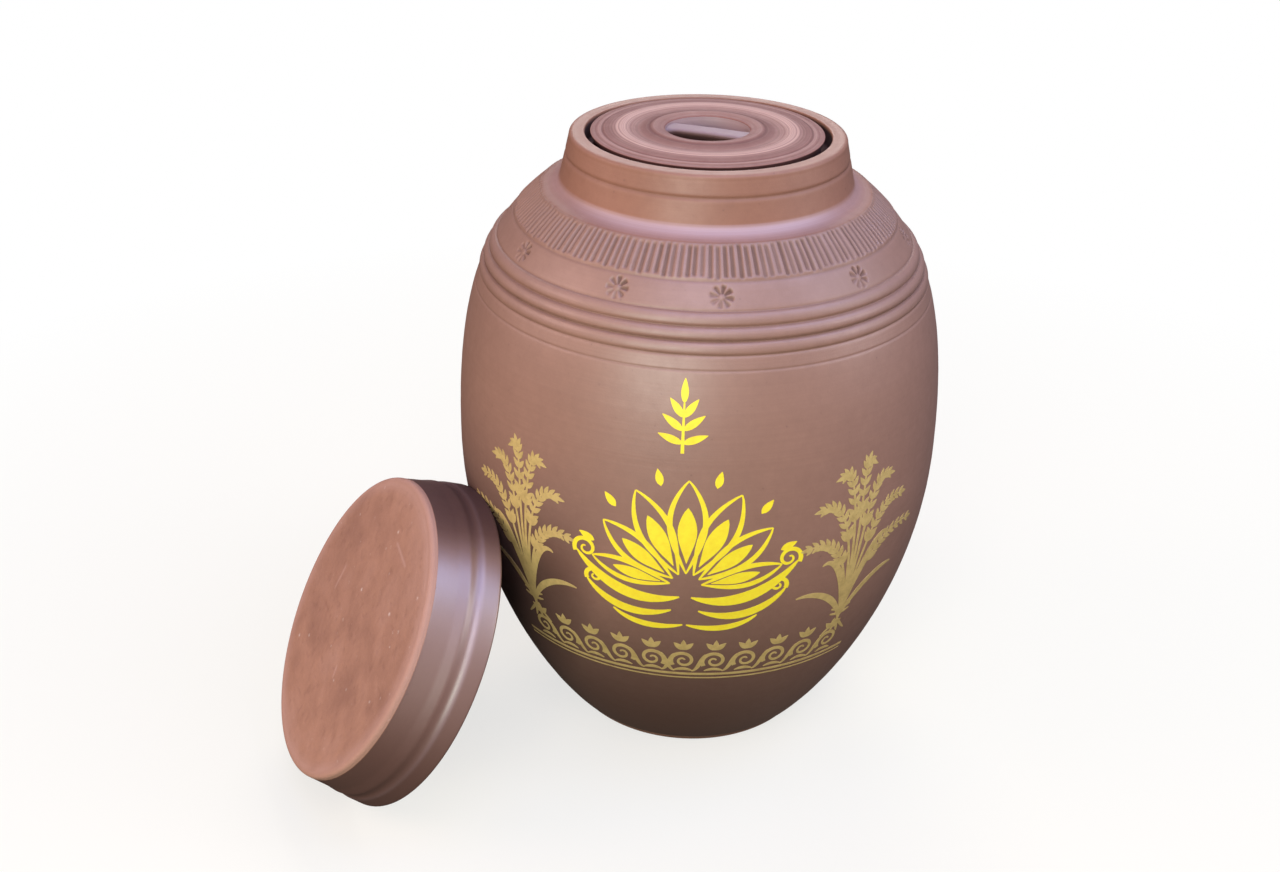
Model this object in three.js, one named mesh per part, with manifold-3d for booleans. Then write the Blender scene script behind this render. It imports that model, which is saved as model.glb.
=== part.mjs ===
// A stoneware wine jar: a thrown pot, a plug lid let into its mouth, and a cover cap
// that has been taken off and leans against the belly.
// Millimetres, +Z up. The origin is the middle of the foot, and the front faces -Y.

import * as THREE from "three";
import { mergeVertices } from "three/addons/utils/BufferGeometryUtils.js";
import Module from "manifold-3d";

// Pot, overall
const jarHeight = 333;
const bellyRadius = 130;
const bellyHeight = 170;
const footRadius = 69.5;
const footBevel = 3;
const wall = 9;
const floorThickness = 11;

// Pot, curve of the wall: how far each end's tangent reaches, as a share of its stretch
const footReach = 0.09;
const lowerBellyReach = 0.53;
const upperBellyReach = 0.735;
const shoulderReach = 0.2;
const footFlare = 49; // degrees off upright where the wall leaves the foot
const shoulderSlope = 42; // degrees below level where the wall meets the collar

// Pot, bands of the shoulder from the neck down
const neckHeight = 22.5;
const collarDrop = 5.7;
const collarWidth = 9.3;
const collarHollow = 0.7; // 0 is a straight slope from the neck, 1 a square step
const combBandHeight = 13.6;
const combBandRise = 0.6;
const combBandEdge = 0.08; // share of the band that each sloping edge takes
const stampBandHeight = 11.6;
const ribCount = 3;
const ribPitch = 6.1;
const ribRise = 1.3;

// Pot, neck and mouth
const neckBaseRadius = 75.5;
const neckTopRadius = 71;
const neckLineDrop = 11; // from the rim down to the turned line round the neck
const neckLineWidth = 1.8;
const neckLineDepth = 1;
const rimRound = 2.4;
const rimWidth = 8;
const mouthBevel = 0.8;
const ledgeWidth = 8; // the seat of the plug lid
const ledgeThickness = 8;

// Plug lid
const lidDepth = 10; // from the rim down to the seat
const lidClearance = 3.3; // round the lid's edge
const seatGap = 0.3;
const lidEdgeRound = 1.5;
const lidEdgeRise = 0.3; // this and the rises below it count from the pot's rim
const outerRingWidth = 15.7;
const crestRise = 1.9;
const dishRise = 0.9;
const lipRingRise = 2.7;
const lipRise = 1.8;
const lipWidth = 5.5;
const lidShift = 0.4; // the lid lies loose, a little to the left of the mouth's middle
const plugClearance = 1.6;
const plugDepth = 12;
const plugRingWidth = 8;

// Grip of the plug lid: a bowl with a bar across it
const gripRadius = 21.7;
const gripDepth = 20;
const gripFloorRadius = 11;
const gripFullness = 0.95; // 1 is a bowl with upright sides
const gripWall = 6;
const barWidth = 12;
const barFootWidth = 6; // the bar is undercut for the finger tips
const barThickness = 6;
const barRound = 1.6;
const barSink = 1.4; // of the bar's top below the lip
const barRoot = 2.5; // length of bar let into the bowl's wall at each end
const barTurn = -18; // degrees from the X axis

// Cover cap
const capHeight = 36.5;
const capTopThickness = 7;
const capWall = 7.6;
const capClearance = 2; // round the neck
const capDraft = 4.2; // how much slimmer the wall is at the top than at the bead
const capFaceRound = 3;
const capBandWidth = 2.9; // how far the lip at the mouth stands out of the wall
const capBeadHeight = 10; // of the bead round the wall, from the lip
const capBeadWidth = 5;
const capBeadRise = 1.4;
const capLineDepth = 0.3; // of the turned line above the bead
const capLineWidth = 4;
const capLipRound = 1.5;

// Where the cover cap leans: degrees round the jar from +X, and above level
const leanPlace = -148;
const leanFacing = -156;
const leanTilt = 30;
const leanGap = 0.3;

// Fineness of the turned surfaces
const potSegments = 48;
const lidSegments = 48;
const capSegments = 60;
const wallSteps = 8;
const ribSteps = 4;
const roundSteps = 3;

const radians = THREE.MathUtils.degToRad;
const at = (radius, height) => new THREE.Vector2(radius, height);

// Quarter round from one point to another, bulging towards the corner.
function roundOver(from, corner, to) {
  return new THREE.QuadraticBezierCurve(from, corner, to).getPoints(roundSteps);
}

// Radius of an outline at a height, for an outline that only rises.
function radiusAt(outline, height) {
  let i = 1;
  while (i < outline.length - 1 && outline[i].y < height) i += 1;
  const below = outline[i - 1];
  const above = outline[i];
  const share = (height - below.y) / (above.y - below.y);
  return THREE.MathUtils.lerp(below.x, above.x, THREE.MathUtils.clamp(share, 0, 1));
}

// A point moved square off the curve: outwards for a positive distance.
function offCurve(curve, t, distance) {
  const tangent = curve.getTangent(t);
  return curve.getPoint(t).add(at(tangent.y, -tangent.x).multiplyScalar(distance));
}

// Solid turned about +Z from an outline that starts and ends on the axis.
function turned(outline, segments) {
  return new THREE.LatheGeometry(outline, segments).rotateX(Math.PI / 2);
}

// Heights and radii that the pieces share
const neckBaseHeight = jarHeight - neckHeight;
const combTopHeight = neckBaseHeight - collarDrop;
const combTopRadius = neckBaseRadius + collarWidth;
const combFootHeight = combTopHeight - combBandHeight;
const ribTopHeight = combFootHeight - stampBandHeight;
const ribFootHeight = ribTopHeight - ribCount * ribPitch;
const mouthRadius = neckTopRadius - rimWidth;
const throatRadius = mouthRadius - ledgeWidth;
const ledgeHeight = jarHeight - lidDepth;
const neckBore = neckBaseRadius - wall;

// Pot wall below and above the belly, as two smooth curves

function lowerWall() {
  const rise = bellyHeight - footBevel;
  const flare = radians(footFlare);
  const foot = at(footRadius, footBevel);
  const belly = at(bellyRadius, bellyHeight);
  const fromFoot = at(Math.sin(flare), Math.cos(flare)).multiplyScalar(rise * footReach).add(foot);
  const toBelly = at(bellyRadius, bellyHeight - rise * lowerBellyReach);
  return new THREE.CubicBezierCurve(foot, fromFoot, toBelly, belly);
}

function upperWall() {
  const rise = combTopHeight - bellyHeight;
  const slope = radians(shoulderSlope);
  const belly = at(bellyRadius, bellyHeight);
  const shoulder = at(combTopRadius, combTopHeight);
  const fromBelly = at(bellyRadius, bellyHeight + rise * upperBellyReach);
  const toShoulder = at(Math.cos(slope), -Math.sin(slope));
  toShoulder.multiplyScalar(rise * shoulderReach).add(shoulder);
  return new THREE.CubicBezierCurve(belly, fromBelly, toShoulder, shoulder);
}

// Where along the upper wall a height is reached.
function upperWallShare(height) {
  const curve = upperWall();
  let low = 0;
  let high = 1;
  for (let step = 0; step < 40; step += 1) {
    const middle = (low + high) / 2;
    if (curve.getPoint(middle).y < height) low = middle;
    else high = middle;
  }
  return (low + high) / 2;
}

// Outside of the pot from the foot to the rim

function bellyOutline() {
  const upper = upperWall();
  const below = lowerWall().getPoints(wallSteps);
  const end = upperWallShare(ribFootHeight);
  const above = [];
  for (let step = 1; step <= wallSteps; step += 1) {
    above.push(upper.getPoint((end * step) / wallSteps));
  }
  return [...below, ...above];
}

function ribOutline() {
  const upper = upperWall();
  const points = [];
  for (let rib = 0; rib < ribCount; rib += 1) {
    for (let step = 1; step <= ribSteps; step += 1) {
      const share = step / ribSteps;
      const height = ribFootHeight + (rib + share) * ribPitch;
      points.push(offCurve(upper, upperWallShare(height), ribRise * Math.sin(Math.PI * share)));
    }
  }
  return points;
}

function combOutline() {
  const upper = upperWall();
  const foot = upperWallShare(combFootHeight);
  const points = [upper.getPoint(foot)];
  for (const share of [combBandEdge, 0.5, 1 - combBandEdge]) {
    points.push(offCurve(upper, THREE.MathUtils.lerp(foot, 1, share), combBandRise));
  }
  points.push(upper.getPoint(1));
  return points;
}

function neckOutline() {
  const collarFoot = at(combTopRadius, combTopHeight);
  const neckFoot = at(neckBaseRadius, neckBaseHeight);
  const middle = collarFoot.clone().lerp(neckFoot, 0.5);
  const hollow = middle.lerp(at(neckBaseRadius, combTopHeight), collarHollow);
  const collar = roundOver(collarFoot, hollow, neckFoot).slice(1);
  const rimSide = at(neckTopRadius, jarHeight - rimRound);
  const line = jarHeight - neckLineDrop;
  const neckRadius = (height) => radiusAt([neckFoot, rimSide], height);
  const turnedLine = [-1, 0, 1].map((side) => {
    const height = line + (side * neckLineWidth) / 2;
    return at(neckRadius(height) - (side === 0 ? neckLineDepth : 0), height);
  });
  const rim = roundOver(rimSide, at(neckTopRadius, jarHeight), at(neckTopRadius - rimRound, jarHeight));
  return [...collar, ...turnedLine, ...rim];
}

const outside = [...bellyOutline(), ...ribOutline(), ...combOutline(), ...neckOutline()];

// Inside of the pot from the mouth down to the floor

function mouthOutline() {
  const underLedge = ledgeHeight - ledgeThickness;
  return [
    at(mouthRadius + mouthBevel, jarHeight),
    at(mouthRadius, jarHeight - mouthBevel),
    at(mouthRadius, ledgeHeight),
    at(throatRadius, ledgeHeight),
    at(throatRadius, underLedge),
    at(neckBore, Math.min(neckBaseHeight, underLedge) - 1),
  ];
}

function cavityOutline() {
  const ceiling = combTopHeight - wall / 2;
  const offset = (curve) => {
    const points = [];
    for (let step = wallSteps; step >= 0; step -= 1) {
      points.push(offCurve(curve, step / wallSteps, -wall));
    }
    return points;
  };
  const inner = [...offset(upperWall()), ...offset(lowerWall()).slice(1)];
  return inner.filter((p) => p.y < ceiling && p.y > floorThickness + wall / 2);
}

function floorOutline(cavity) {
  const lowest = cavity[cavity.length - 1];
  const before = cavity[cavity.length - 2];
  const slope = (before.x - lowest.x) / (before.y - lowest.y);
  const corner = at(lowest.x - slope * (lowest.y - floorThickness), floorThickness);
  const rounding = roundOver(lowest, corner, at(corner.x - wall, floorThickness));
  return [...rounding.slice(1), at(0, floorThickness)];
}

function potGeometry() {
  const cavity = cavityOutline();
  const foot = [at(0, 0), at(footRadius - footBevel, 0)];
  const inside = [...mouthOutline(), ...cavity, ...floorOutline(cavity)];
  return turned([...foot, ...outside, ...inside], potSegments);
}

// Plug lid, with the bar joined to it

const lidRadius = mouthRadius - lidClearance;
const lidFoot = ledgeHeight + seatGap;
const lipHeight = jarHeight + lipRise;
const gripFloor = lipHeight - gripDepth;
const plugRadius = throatRadius - plugClearance;

function lidUnderside() {
  const bossRadius = gripRadius + gripWall;
  const bossFoot = gripFloor - gripWall;
  const plugBore = plugRadius - plugRingWidth;
  const plugFoot = lidFoot - plugDepth;
  return [
    at(0, bossFoot),
    at(gripFloorRadius + gripWall / 2, bossFoot),
    at(bossRadius - gripWall / 2, (bossFoot + lidFoot) / 2),
    at(bossRadius, lidFoot),
    at(plugBore, lidFoot),
    at(plugBore, plugFoot),
    at(plugRadius, plugFoot),
    at(plugRadius, lidFoot),
  ];
}

function lidTop() {
  const edgeHeight = jarHeight + lidEdgeRise;
  const crest = lidRadius - outerRingWidth;
  const lipRing = gripRadius + lipWidth;
  const edge = roundOver(
    at(lidRadius, edgeHeight - lidEdgeRound),
    at(lidRadius, edgeHeight),
    at(lidRadius - lidEdgeRound, edgeHeight),
  );
  return [
    at(lidRadius, lidFoot),
    ...edge,
    at(crest, jarHeight + crestRise),
    at((crest + lipRing) / 2, jarHeight + dishRise),
    at(lipRing, jarHeight + lipRingRise),
    at(gripRadius + lidEdgeRound, lipHeight),
  ];
}

function gripBowl() {
  const edge = at(gripRadius, lipHeight - lidEdgeRound);
  const corner = at(gripRadius * gripFullness, gripFloor);
  const floor = at(gripFloorRadius, gripFloor);
  const side = new THREE.QuadraticBezierCurve(edge, corner, floor).getPoints(roundSteps * 2);
  return [...side, at(0, gripFloor)];
}

// The bar is a strip of clay, undercut along both sides, swept along X and then turned.
function barGeometry() {
  const half = barWidth / 2;
  const foot = barFootWidth / 2;
  const section = new THREE.Shape();
  section.moveTo(-foot, 0);
  section.lineTo(foot, 0);
  section.lineTo(half, barThickness - barRound);
  section.quadraticCurveTo(half, barThickness, half - barRound, barThickness);
  section.lineTo(-half + barRound, barThickness);
  section.quadraticCurveTo(-half, barThickness, -half, barThickness - barRound);
  section.lineTo(-foot, 0);
  const length = 2 * (gripRadius + barRoot);
  const sweep = { depth: length, bevelEnabled: false, curveSegments: roundSteps };
  const bar = new THREE.ExtrudeGeometry(section, sweep);
  bar.translate(0, 0, -length / 2).rotateX(Math.PI / 2).rotateZ(Math.PI / 2 + radians(barTurn));
  return bar.translate(0, 0, lipHeight - barSink - barThickness);
}

const manifold = await Module();
manifold.setup();

function toSolid(geometry) {
  const bare = geometry.clone();
  bare.deleteAttribute("normal");
  bare.deleteAttribute("uv");
  const merged = mergeVertices(bare, 1e-3);
  const mesh = new manifold.Mesh({
    numProp: 3,
    vertProperties: merged.attributes.position.array,
    triVerts: new Uint32Array(merged.index.array),
  });
  return new manifold.Manifold(mesh);
}

function toGeometry(solid) {
  const mesh = solid.getMesh();
  const geometry = new THREE.BufferGeometry();
  geometry.setAttribute("position", new THREE.BufferAttribute(mesh.vertProperties, mesh.numProp));
  geometry.setIndex(new THREE.BufferAttribute(mesh.triVerts, 1));
  geometry.computeVertexNormals();
  return geometry;
}

function lidGeometry() {
  const disc = turned([...lidUnderside(), ...lidTop(), ...gripBowl()], lidSegments);
  return toGeometry(toSolid(disc).add(toSolid(barGeometry())));
}

// Cover cap, standing mouth down on its own rim

const capBore = Math.max(neckBaseRadius, neckTopRadius) + capClearance;
const capWallRadius = capBore + capWall;
const capLipRadius = capWallRadius + capBandWidth;

function capOutside() {
  const faceRadius = capWallRadius - capDraft;
  const beadTop = capBeadHeight + capBeadWidth / 2;
  const lip = roundOver(
    at(capLipRadius - capLipRound, 0),
    at(capLipRadius, 0),
    at(capLipRadius, capLipRound),
  );
  const bead = roundOver(
    at(capWallRadius + capBeadRise, capBeadHeight),
    at(capWallRadius + capBeadRise, beadTop),
    at(capWallRadius, beadTop),
  );
  const line = [
    at(capWallRadius - capLineDepth, beadTop + capLineWidth / 2),
    at(capWallRadius, beadTop + capLineWidth),
  ];
  const face = roundOver(
    at(faceRadius, capHeight - capFaceRound),
    at(faceRadius, capHeight),
    at(faceRadius - capFaceRound, capHeight),
  );
  return [...lip, ...bead, ...line, ...face];
}

function capGeometry(outer) {
  const ceiling = capHeight - capTopThickness;
  const inner = [
    at(0, ceiling),
    at(capBore - capFaceRound, ceiling),
    at(capBore, ceiling - capFaceRound),
    at(capBore, capLipRound),
    at(capBore + capLipRound / 2, 0),
  ];
  return turned([...inner, ...outer, at(0, capHeight)], capSegments);
}

// The cap's axis points out of its face, and its own +X is turned downhill.
function leanTurn() {
  const tilt = radians(leanTilt);
  const facing = radians(leanFacing);
  const axis = new THREE.Vector3(
    Math.cos(tilt) * Math.cos(facing),
    Math.cos(tilt) * Math.sin(facing),
    Math.sin(tilt),
  );
  const downhill = new THREE.Vector3(
    Math.sin(tilt) * Math.cos(facing),
    Math.sin(tilt) * Math.sin(facing),
    -Math.cos(tilt),
  );
  const side = new THREE.Vector3().crossVectors(axis, downhill);
  return new THREE.Matrix4().makeBasis(downhill, side, axis);
}

// Points round the cap's outline, turned as it leans but not yet moved.
function leaningPoints(outer) {
  const turn = leanTurn();
  const points = [];
  for (const { x, y } of outer) {
    for (let step = 0; step < 4 * capSegments; step += 1) {
      const angle = (Math.PI * step) / (2 * capSegments);
      points.push(new THREE.Vector3(x * Math.cos(angle), x * Math.sin(angle), y).applyMatrix4(turn));
    }
  }
  return points;
}

// The cap stands on the floor, as close to the belly as leaves the gap.
function leanPosition(outer) {
  const points = leaningPoints(outer);
  const lift = -Math.min(...points.map((p) => p.z));
  const away = new THREE.Vector3(Math.cos(radians(leanPlace)), Math.sin(radians(leanPlace)), 0);
  const clearance = (distance) => {
    let least = Infinity;
    for (const p of points) {
      const x = p.x + away.x * distance;
      const y = p.y + away.y * distance;
      least = Math.min(least, Math.hypot(x, y) - radiusAt(outside, p.z + lift));
    }
    return least;
  };
  let near = 0;
  let far = 2 * (bellyRadius + capLipRadius);
  for (let step = 0; step < 40; step += 1) {
    const middle = (near + far) / 2;
    if (clearance(middle) < leanGap) near = middle;
    else far = middle;
  }
  return away.multiplyScalar(far).setZ(lift);
}

// Fired clay, a little redder on the lid and rougher on the cap
const potClay = new THREE.MeshStandardMaterial({ color: 0x96705f, roughness: 0.55, metalness: 0 });
const lidClay = new THREE.MeshStandardMaterial({ color: 0xa47c75, roughness: 0.6, metalness: 0 });
const capClay = new THREE.MeshStandardMaterial({ color: 0x9c7263, roughness: 0.65, metalness: 0 });

function named(name, geometry, material) {
  const mesh = new THREE.Mesh(geometry, material);
  mesh.name = name;
  return mesh;
}

const wineJar = new THREE.Group();
wineJar.add(named("jar_body", potGeometry(), potClay));

const lid = named("inner_lid", lidGeometry(), lidClay);
lid.position.x = -lidShift;
wineJar.add(lid);

const capOuter = capOutside();
const leaningCap = new THREE.Group();
leaningCap.setRotationFromMatrix(leanTurn());
leaningCap.position.copy(leanPosition(capOuter));
leaningCap.add(named("outer_cap", capGeometry(capOuter), capClay));
wineJar.add(leaningCap);

export default wineJar;
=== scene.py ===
import math

import bpy
import numpy as np
from mathutils import Matrix, Vector


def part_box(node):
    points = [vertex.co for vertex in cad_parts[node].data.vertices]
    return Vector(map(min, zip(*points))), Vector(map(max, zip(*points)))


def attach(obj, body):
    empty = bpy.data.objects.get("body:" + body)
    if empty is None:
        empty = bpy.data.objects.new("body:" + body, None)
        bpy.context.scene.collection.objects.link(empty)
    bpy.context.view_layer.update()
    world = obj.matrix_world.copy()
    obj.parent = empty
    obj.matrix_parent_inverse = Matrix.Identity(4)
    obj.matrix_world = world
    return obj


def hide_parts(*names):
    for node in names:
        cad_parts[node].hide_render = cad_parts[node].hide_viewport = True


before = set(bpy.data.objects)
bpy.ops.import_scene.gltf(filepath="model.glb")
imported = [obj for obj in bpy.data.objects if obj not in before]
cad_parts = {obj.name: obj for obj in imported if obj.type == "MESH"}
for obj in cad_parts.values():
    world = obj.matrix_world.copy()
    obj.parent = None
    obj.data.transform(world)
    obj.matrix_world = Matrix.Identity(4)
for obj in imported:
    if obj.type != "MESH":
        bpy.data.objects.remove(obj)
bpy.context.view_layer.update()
print("frame loaded:", ", ".join(sorted(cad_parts)))

mm = 0.001
dice = np.random.RandomState(7)


# camera, floor and light

camera = {
    "place": (0.0, -0.800, 0.573),
    "down": 27.46,      # degrees below level
    "aside": -2.24,     # degrees right of straight ahead
    "roll": -1.27,
    "lens": 45.37,
    "sensor": 36.0,
}

studio = {
    "floorSize": 14.0,
    "floorWhite": (0.80, 0.72, 0.53, 1),      # evens out the tint of the lamps
    "floorBounce": (0.03, 0.026, 0.022, 1),   # what the floor gives back to the clay
    "glow": (0.70, 1.0),                      # share of the white that no shadow reaches, near and far
    "glowReach": (0.22, 0.75),
    "glossyShare": 0.06,                      # of the white that shines in the clay
    "sky": (0.05, 0.055, 0.065, 1),
    "white": (1.0, 1.0, 1.0, 1),
    "black": (0.0, 0.0, 0.0, 1),
    "aim": (-0.03, -0.03, 0.17),
    "lampAway": 2.2,
    "lampSize": 1.2,
}

# soft lamps round the jar: degrees right of the front, degrees above level,
# and the light on a surface that faces them
lamps = {
    "front": {"turn": 0, "rise": 50, "light": (0.40, 0.37, 0.44)},
    "above": {"turn": 0, "rise": 78, "light": (0.06, 0.12, 0.31)},
    "leftFront": {"turn": -16, "rise": 13, "light": (0.70, 0.75, 0.68)},
    "left": {"turn": -80, "rise": 24, "light": (0.41, 0.285, 0.265)},
    "right": {"turn": 80, "rise": 22, "light": (0.36, 0.345, 0.355)},
    "rightHigh": {"turn": 90, "rise": 54, "light": (0.23, 0.29, 0.49)},
    "behind": {"turn": 180, "rise": 40, "light": (0.43, 0.42, 0.41)},
}


def addCamera():
    down, aside, roll = (math.radians(camera[key]) for key in ("down", "aside", "roll"))
    ahead = Vector((math.sin(aside) * math.cos(down), math.cos(aside) * math.cos(down), -math.sin(down)))
    right = Vector((math.cos(aside), -math.sin(aside), 0))
    below = ahead.cross(right)
    across = right * math.cos(roll) + below * math.sin(roll)
    upright = right * math.sin(roll) - below * math.cos(roll)
    turn = Matrix((across, upright, -ahead)).transposed().to_4x4()
    data = bpy.data.cameras.new("viewCamera")
    data.sensor_fit = "HORIZONTAL"
    data.sensor_width = camera["sensor"]
    data.lens = camera["lens"]
    viewCamera = bpy.data.objects.new("viewCamera", data)
    viewCamera.matrix_world = Matrix.Translation(camera["place"]) @ turn
    bpy.context.scene.collection.objects.link(viewCamera)
    bpy.context.scene.camera = viewCamera


def setInputs(tree, node, inputs):
    for key, value in inputs.items():
        if isinstance(value, bpy.types.NodeSocket):
            tree.links.new(value, node.inputs[key])
        else:
            node.inputs[key].default_value = value


def addNode(tree, kind, inputs=None, **settings):
    made = tree.nodes.new(kind)
    for key, value in settings.items():
        setattr(made, key, value)
    setInputs(tree, made, inputs or {})
    return made


def newMaterial(name):
    made = bpy.data.materials.new(name)
    made.use_nodes = True
    return made, made.node_tree, made.node_tree.nodes["Principled BSDF"]


def mixColour(tree, share, first, second):
    made = addNode(tree, "ShaderNodeMix", {0: share, 6: first, 7: second}, data_type="RGBA")
    return made.outputs[2]


def calculate(tree, operation, first, second):
    return addNode(tree, "ShaderNodeMath", {0: first, 1: second}, operation=operation).outputs[0]


def remap(tree, value, low, high, toLow=0.0, toHigh=1.0):
    made = addNode(tree, "ShaderNodeMapRange", {0: value, 1: low, 2: high, 3: toLow, 4: toHigh})
    return made.outputs[0]


def noise(tree, place, scale, detail, roughness=0.5):
    inputs = {"Vector": place, "Scale": scale, "Detail": detail, "Roughness": roughness}
    return addNode(tree, "ShaderNodeTexNoise", inputs).outputs[0]


def bump(tree, strength, distance, height):
    inputs = {"Strength": strength, "Distance": distance, "Height": height}
    return addNode(tree, "ShaderNodeBump", inputs).outputs[0]


def seenDirectly(tree):
    # 1 where the background shows itself, and a share of that where it shines in the clay
    path = addNode(tree, "ShaderNodeLightPath")
    glossy = calculate(tree, "MULTIPLY", path.outputs["Is Glossy Ray"], studio["glossyShare"])
    seen = calculate(tree, "MAXIMUM", path.outputs["Is Camera Ray"], glossy)
    return calculate(tree, "MAXIMUM", seen, path.outputs["Is Transmission Ray"])


def addFloor():
    half = studio["floorSize"] / 2
    mesh = bpy.data.meshes.new("studioFloor")
    corners = [(-half, -half, 0), (half, -half, 0), (half, half, 0), (-half, half, 0)]
    mesh.from_pydata(corners, [], [(0, 1, 2, 3)])
    floor = bpy.data.objects.new("studioFloor", mesh)
    bpy.context.scene.collection.objects.link(floor)
    paint, tree, shader = newMaterial("floorPaint")
    place = addNode(tree, "ShaderNodeTexCoord").outputs["Object"]
    away = addNode(tree, "ShaderNodeVectorMath", {0: place}, operation="LENGTH").outputs["Value"]
    glow = remap(tree, away, *studio["glowReach"], *studio["glow"])
    seen = seenDirectly(tree)
    lit = mixColour(tree, glow, studio["floorWhite"], studio["black"])
    glowing = calculate(tree, "MULTIPLY", seen, glow)
    setInputs(tree, shader, {
        "Base Color": mixColour(tree, seen, studio["floorBounce"], lit),
        "Emission Color": mixColour(tree, glowing, studio["black"], studio["white"]),
        "Emission Strength": 1.0, "Roughness": 1.0, "Specular IOR Level": 0.0,
    })
    mesh.materials.append(paint)


def addSky():
    sky = bpy.data.worlds.new("softSky")
    bpy.context.scene.world = sky
    sky.use_nodes = True
    tree = sky.node_tree
    shown = mixColour(tree, seenDirectly(tree), studio["sky"], studio["white"])
    tree.links.new(shown, tree.nodes["Background"].inputs["Color"])


def addLamps():
    aim = Vector(studio["aim"])
    away = studio["lampAway"]
    for name, lamp in lamps.items():
        turn, rise = math.radians(lamp["turn"]), math.radians(lamp["rise"])
        level = math.cos(rise)
        toward = Vector((math.sin(turn) * level, -math.cos(turn) * level, math.sin(rise)))
        strength = max(lamp["light"])
        data = bpy.data.lights.new(name, "AREA")
        data.shape = "DISK"
        data.size = studio["lampSize"]
        data.energy = strength * (math.pi * away) ** 2
        data.color = [channel / strength for channel in lamp["light"]]
        made = bpy.data.objects.new(name, data)
        made.location = aim + toward * away
        made.rotation_euler = (-toward).to_track_quat("-Z", "Y").to_euler()
        bpy.context.scene.collection.objects.link(made)


bpy.context.scene.view_settings.view_transform = "Standard"
addCamera()
addFloor()
addSky()
addLamps()
print("camera, floor and light set")


# finishes of the clay and the ink

# noise is scale, detail and roughness; a range is where a mask starts and is full
clayGrain = {
    "wide": (11, 5, 0.62), "fine": (160, 4, 0.7), "sand": (1300, 2),
    "wideShare": 0.65, "fineShare": 0.35, "cloudRange": (0.40, 0.62),
    "fleckRange": (0.05, 0.16), "fleckPatches": (0.50, 0.62), "fineHeight": 0.7,
}

wheelLines = {"drift": (7, 2), "driftReach": 1.6, "detail": 3, "roughness": 0.65, "toneRange": (0.36, 0.64)}


def newGroup(name, takes, gives):
    group = bpy.data.node_groups.new(name, "ShaderNodeTree")
    for socket, kind in takes:
        group.interface.new_socket(socket, in_out="INPUT", socket_type="NodeSocket" + kind)
    for socket, kind in gives:
        group.interface.new_socket(socket, in_out="OUTPUT", socket_type="NodeSocket" + kind)
    start = addNode(group, "NodeGroupInput")
    end = addNode(group, "NodeGroupOutput")
    return group, start.outputs, end.inputs


def makeClayBody():
    # clouds of tone, sandy grain and mineral flecks in fired clay
    group, given, result = newGroup(
        "clayBody",
        [("Colour", "Color"), ("Cloud Colour", "Color"), ("Fleck Colour", "Color"),
         ("Cloud", "Float"), ("Fleck", "Float"), ("Fleck Scale", "Float")],
        [("Colour", "Color"), ("Height", "Float"), ("Tone", "Float")],
    )
    place = addNode(group, "ShaderNodeTexCoord").outputs["Object"]
    wide = noise(group, place, *clayGrain["wide"])
    fine = noise(group, place, *clayGrain["fine"])
    sand = noise(group, place, *clayGrain["sand"])
    cell = addNode(group, "ShaderNodeTexVoronoi", {"Vector": place, "Scale": given["Fleck Scale"]})
    tone = calculate(group, "MULTIPLY", wide, clayGrain["wideShare"])
    tone = calculate(group, "ADD", tone, calculate(group, "MULTIPLY", fine, clayGrain["fineShare"]))
    cloud = calculate(group, "MULTIPLY", remap(group, tone, *clayGrain["cloudRange"]), given["Cloud"])
    colour = mixColour(group, cloud, given["Colour"], given["Cloud Colour"])
    fleck = remap(group, cell.outputs["Distance"], *clayGrain["fleckRange"], 1.0, 0.0)
    fleck = calculate(group, "MULTIPLY", fleck, remap(group, fine, *clayGrain["fleckPatches"]))
    fleck = calculate(group, "MULTIPLY", fleck, given["Fleck"])
    group.links.new(mixColour(group, fleck, colour, given["Fleck Colour"]), result["Colour"])
    height = calculate(group, "MULTIPLY", fine, clayGrain["fineHeight"])
    group.links.new(calculate(group, "ADD", height, sand), result["Height"])
    group.links.new(tone, result["Tone"])
    return group


def makeTurningMarks():
    # fine rings left by the wheel, counted along each piece's own outline
    group, given, result = newGroup(
        "turningMarks",
        [("Rings", "Float")],
        [("Height", "Float"), ("Tone", "Float")],
    )
    along = addNode(group, "ShaderNodeAttribute", attribute_name="arc").outputs["Fac"]
    place = addNode(group, "ShaderNodeTexCoord").outputs["Object"]
    drift = noise(group, place, *wheelLines["drift"])
    step = calculate(group, "ADD", along, calculate(group, "MULTIPLY", drift, wheelLines["driftReach"]))
    step = calculate(group, "MULTIPLY", step, given["Rings"])
    inputs = {"W": step, "Scale": 1, "Detail": wheelLines["detail"], "Roughness": wheelLines["roughness"]}
    line = addNode(group, "ShaderNodeTexNoise", inputs, noise_dimensions="1D").outputs[0]
    group.links.new(line, result["Height"])
    group.links.new(remap(group, line, *wheelLines["toneRange"]), result["Tone"])
    return group


clayBody = makeClayBody()
turningMarks = makeTurningMarks()

# what a clay has unless it says otherwise
plainClay = {"fleckScale": 210, "rings": 0.55, "roughness": (0.42, 0.54), "bump": 0.10}

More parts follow.
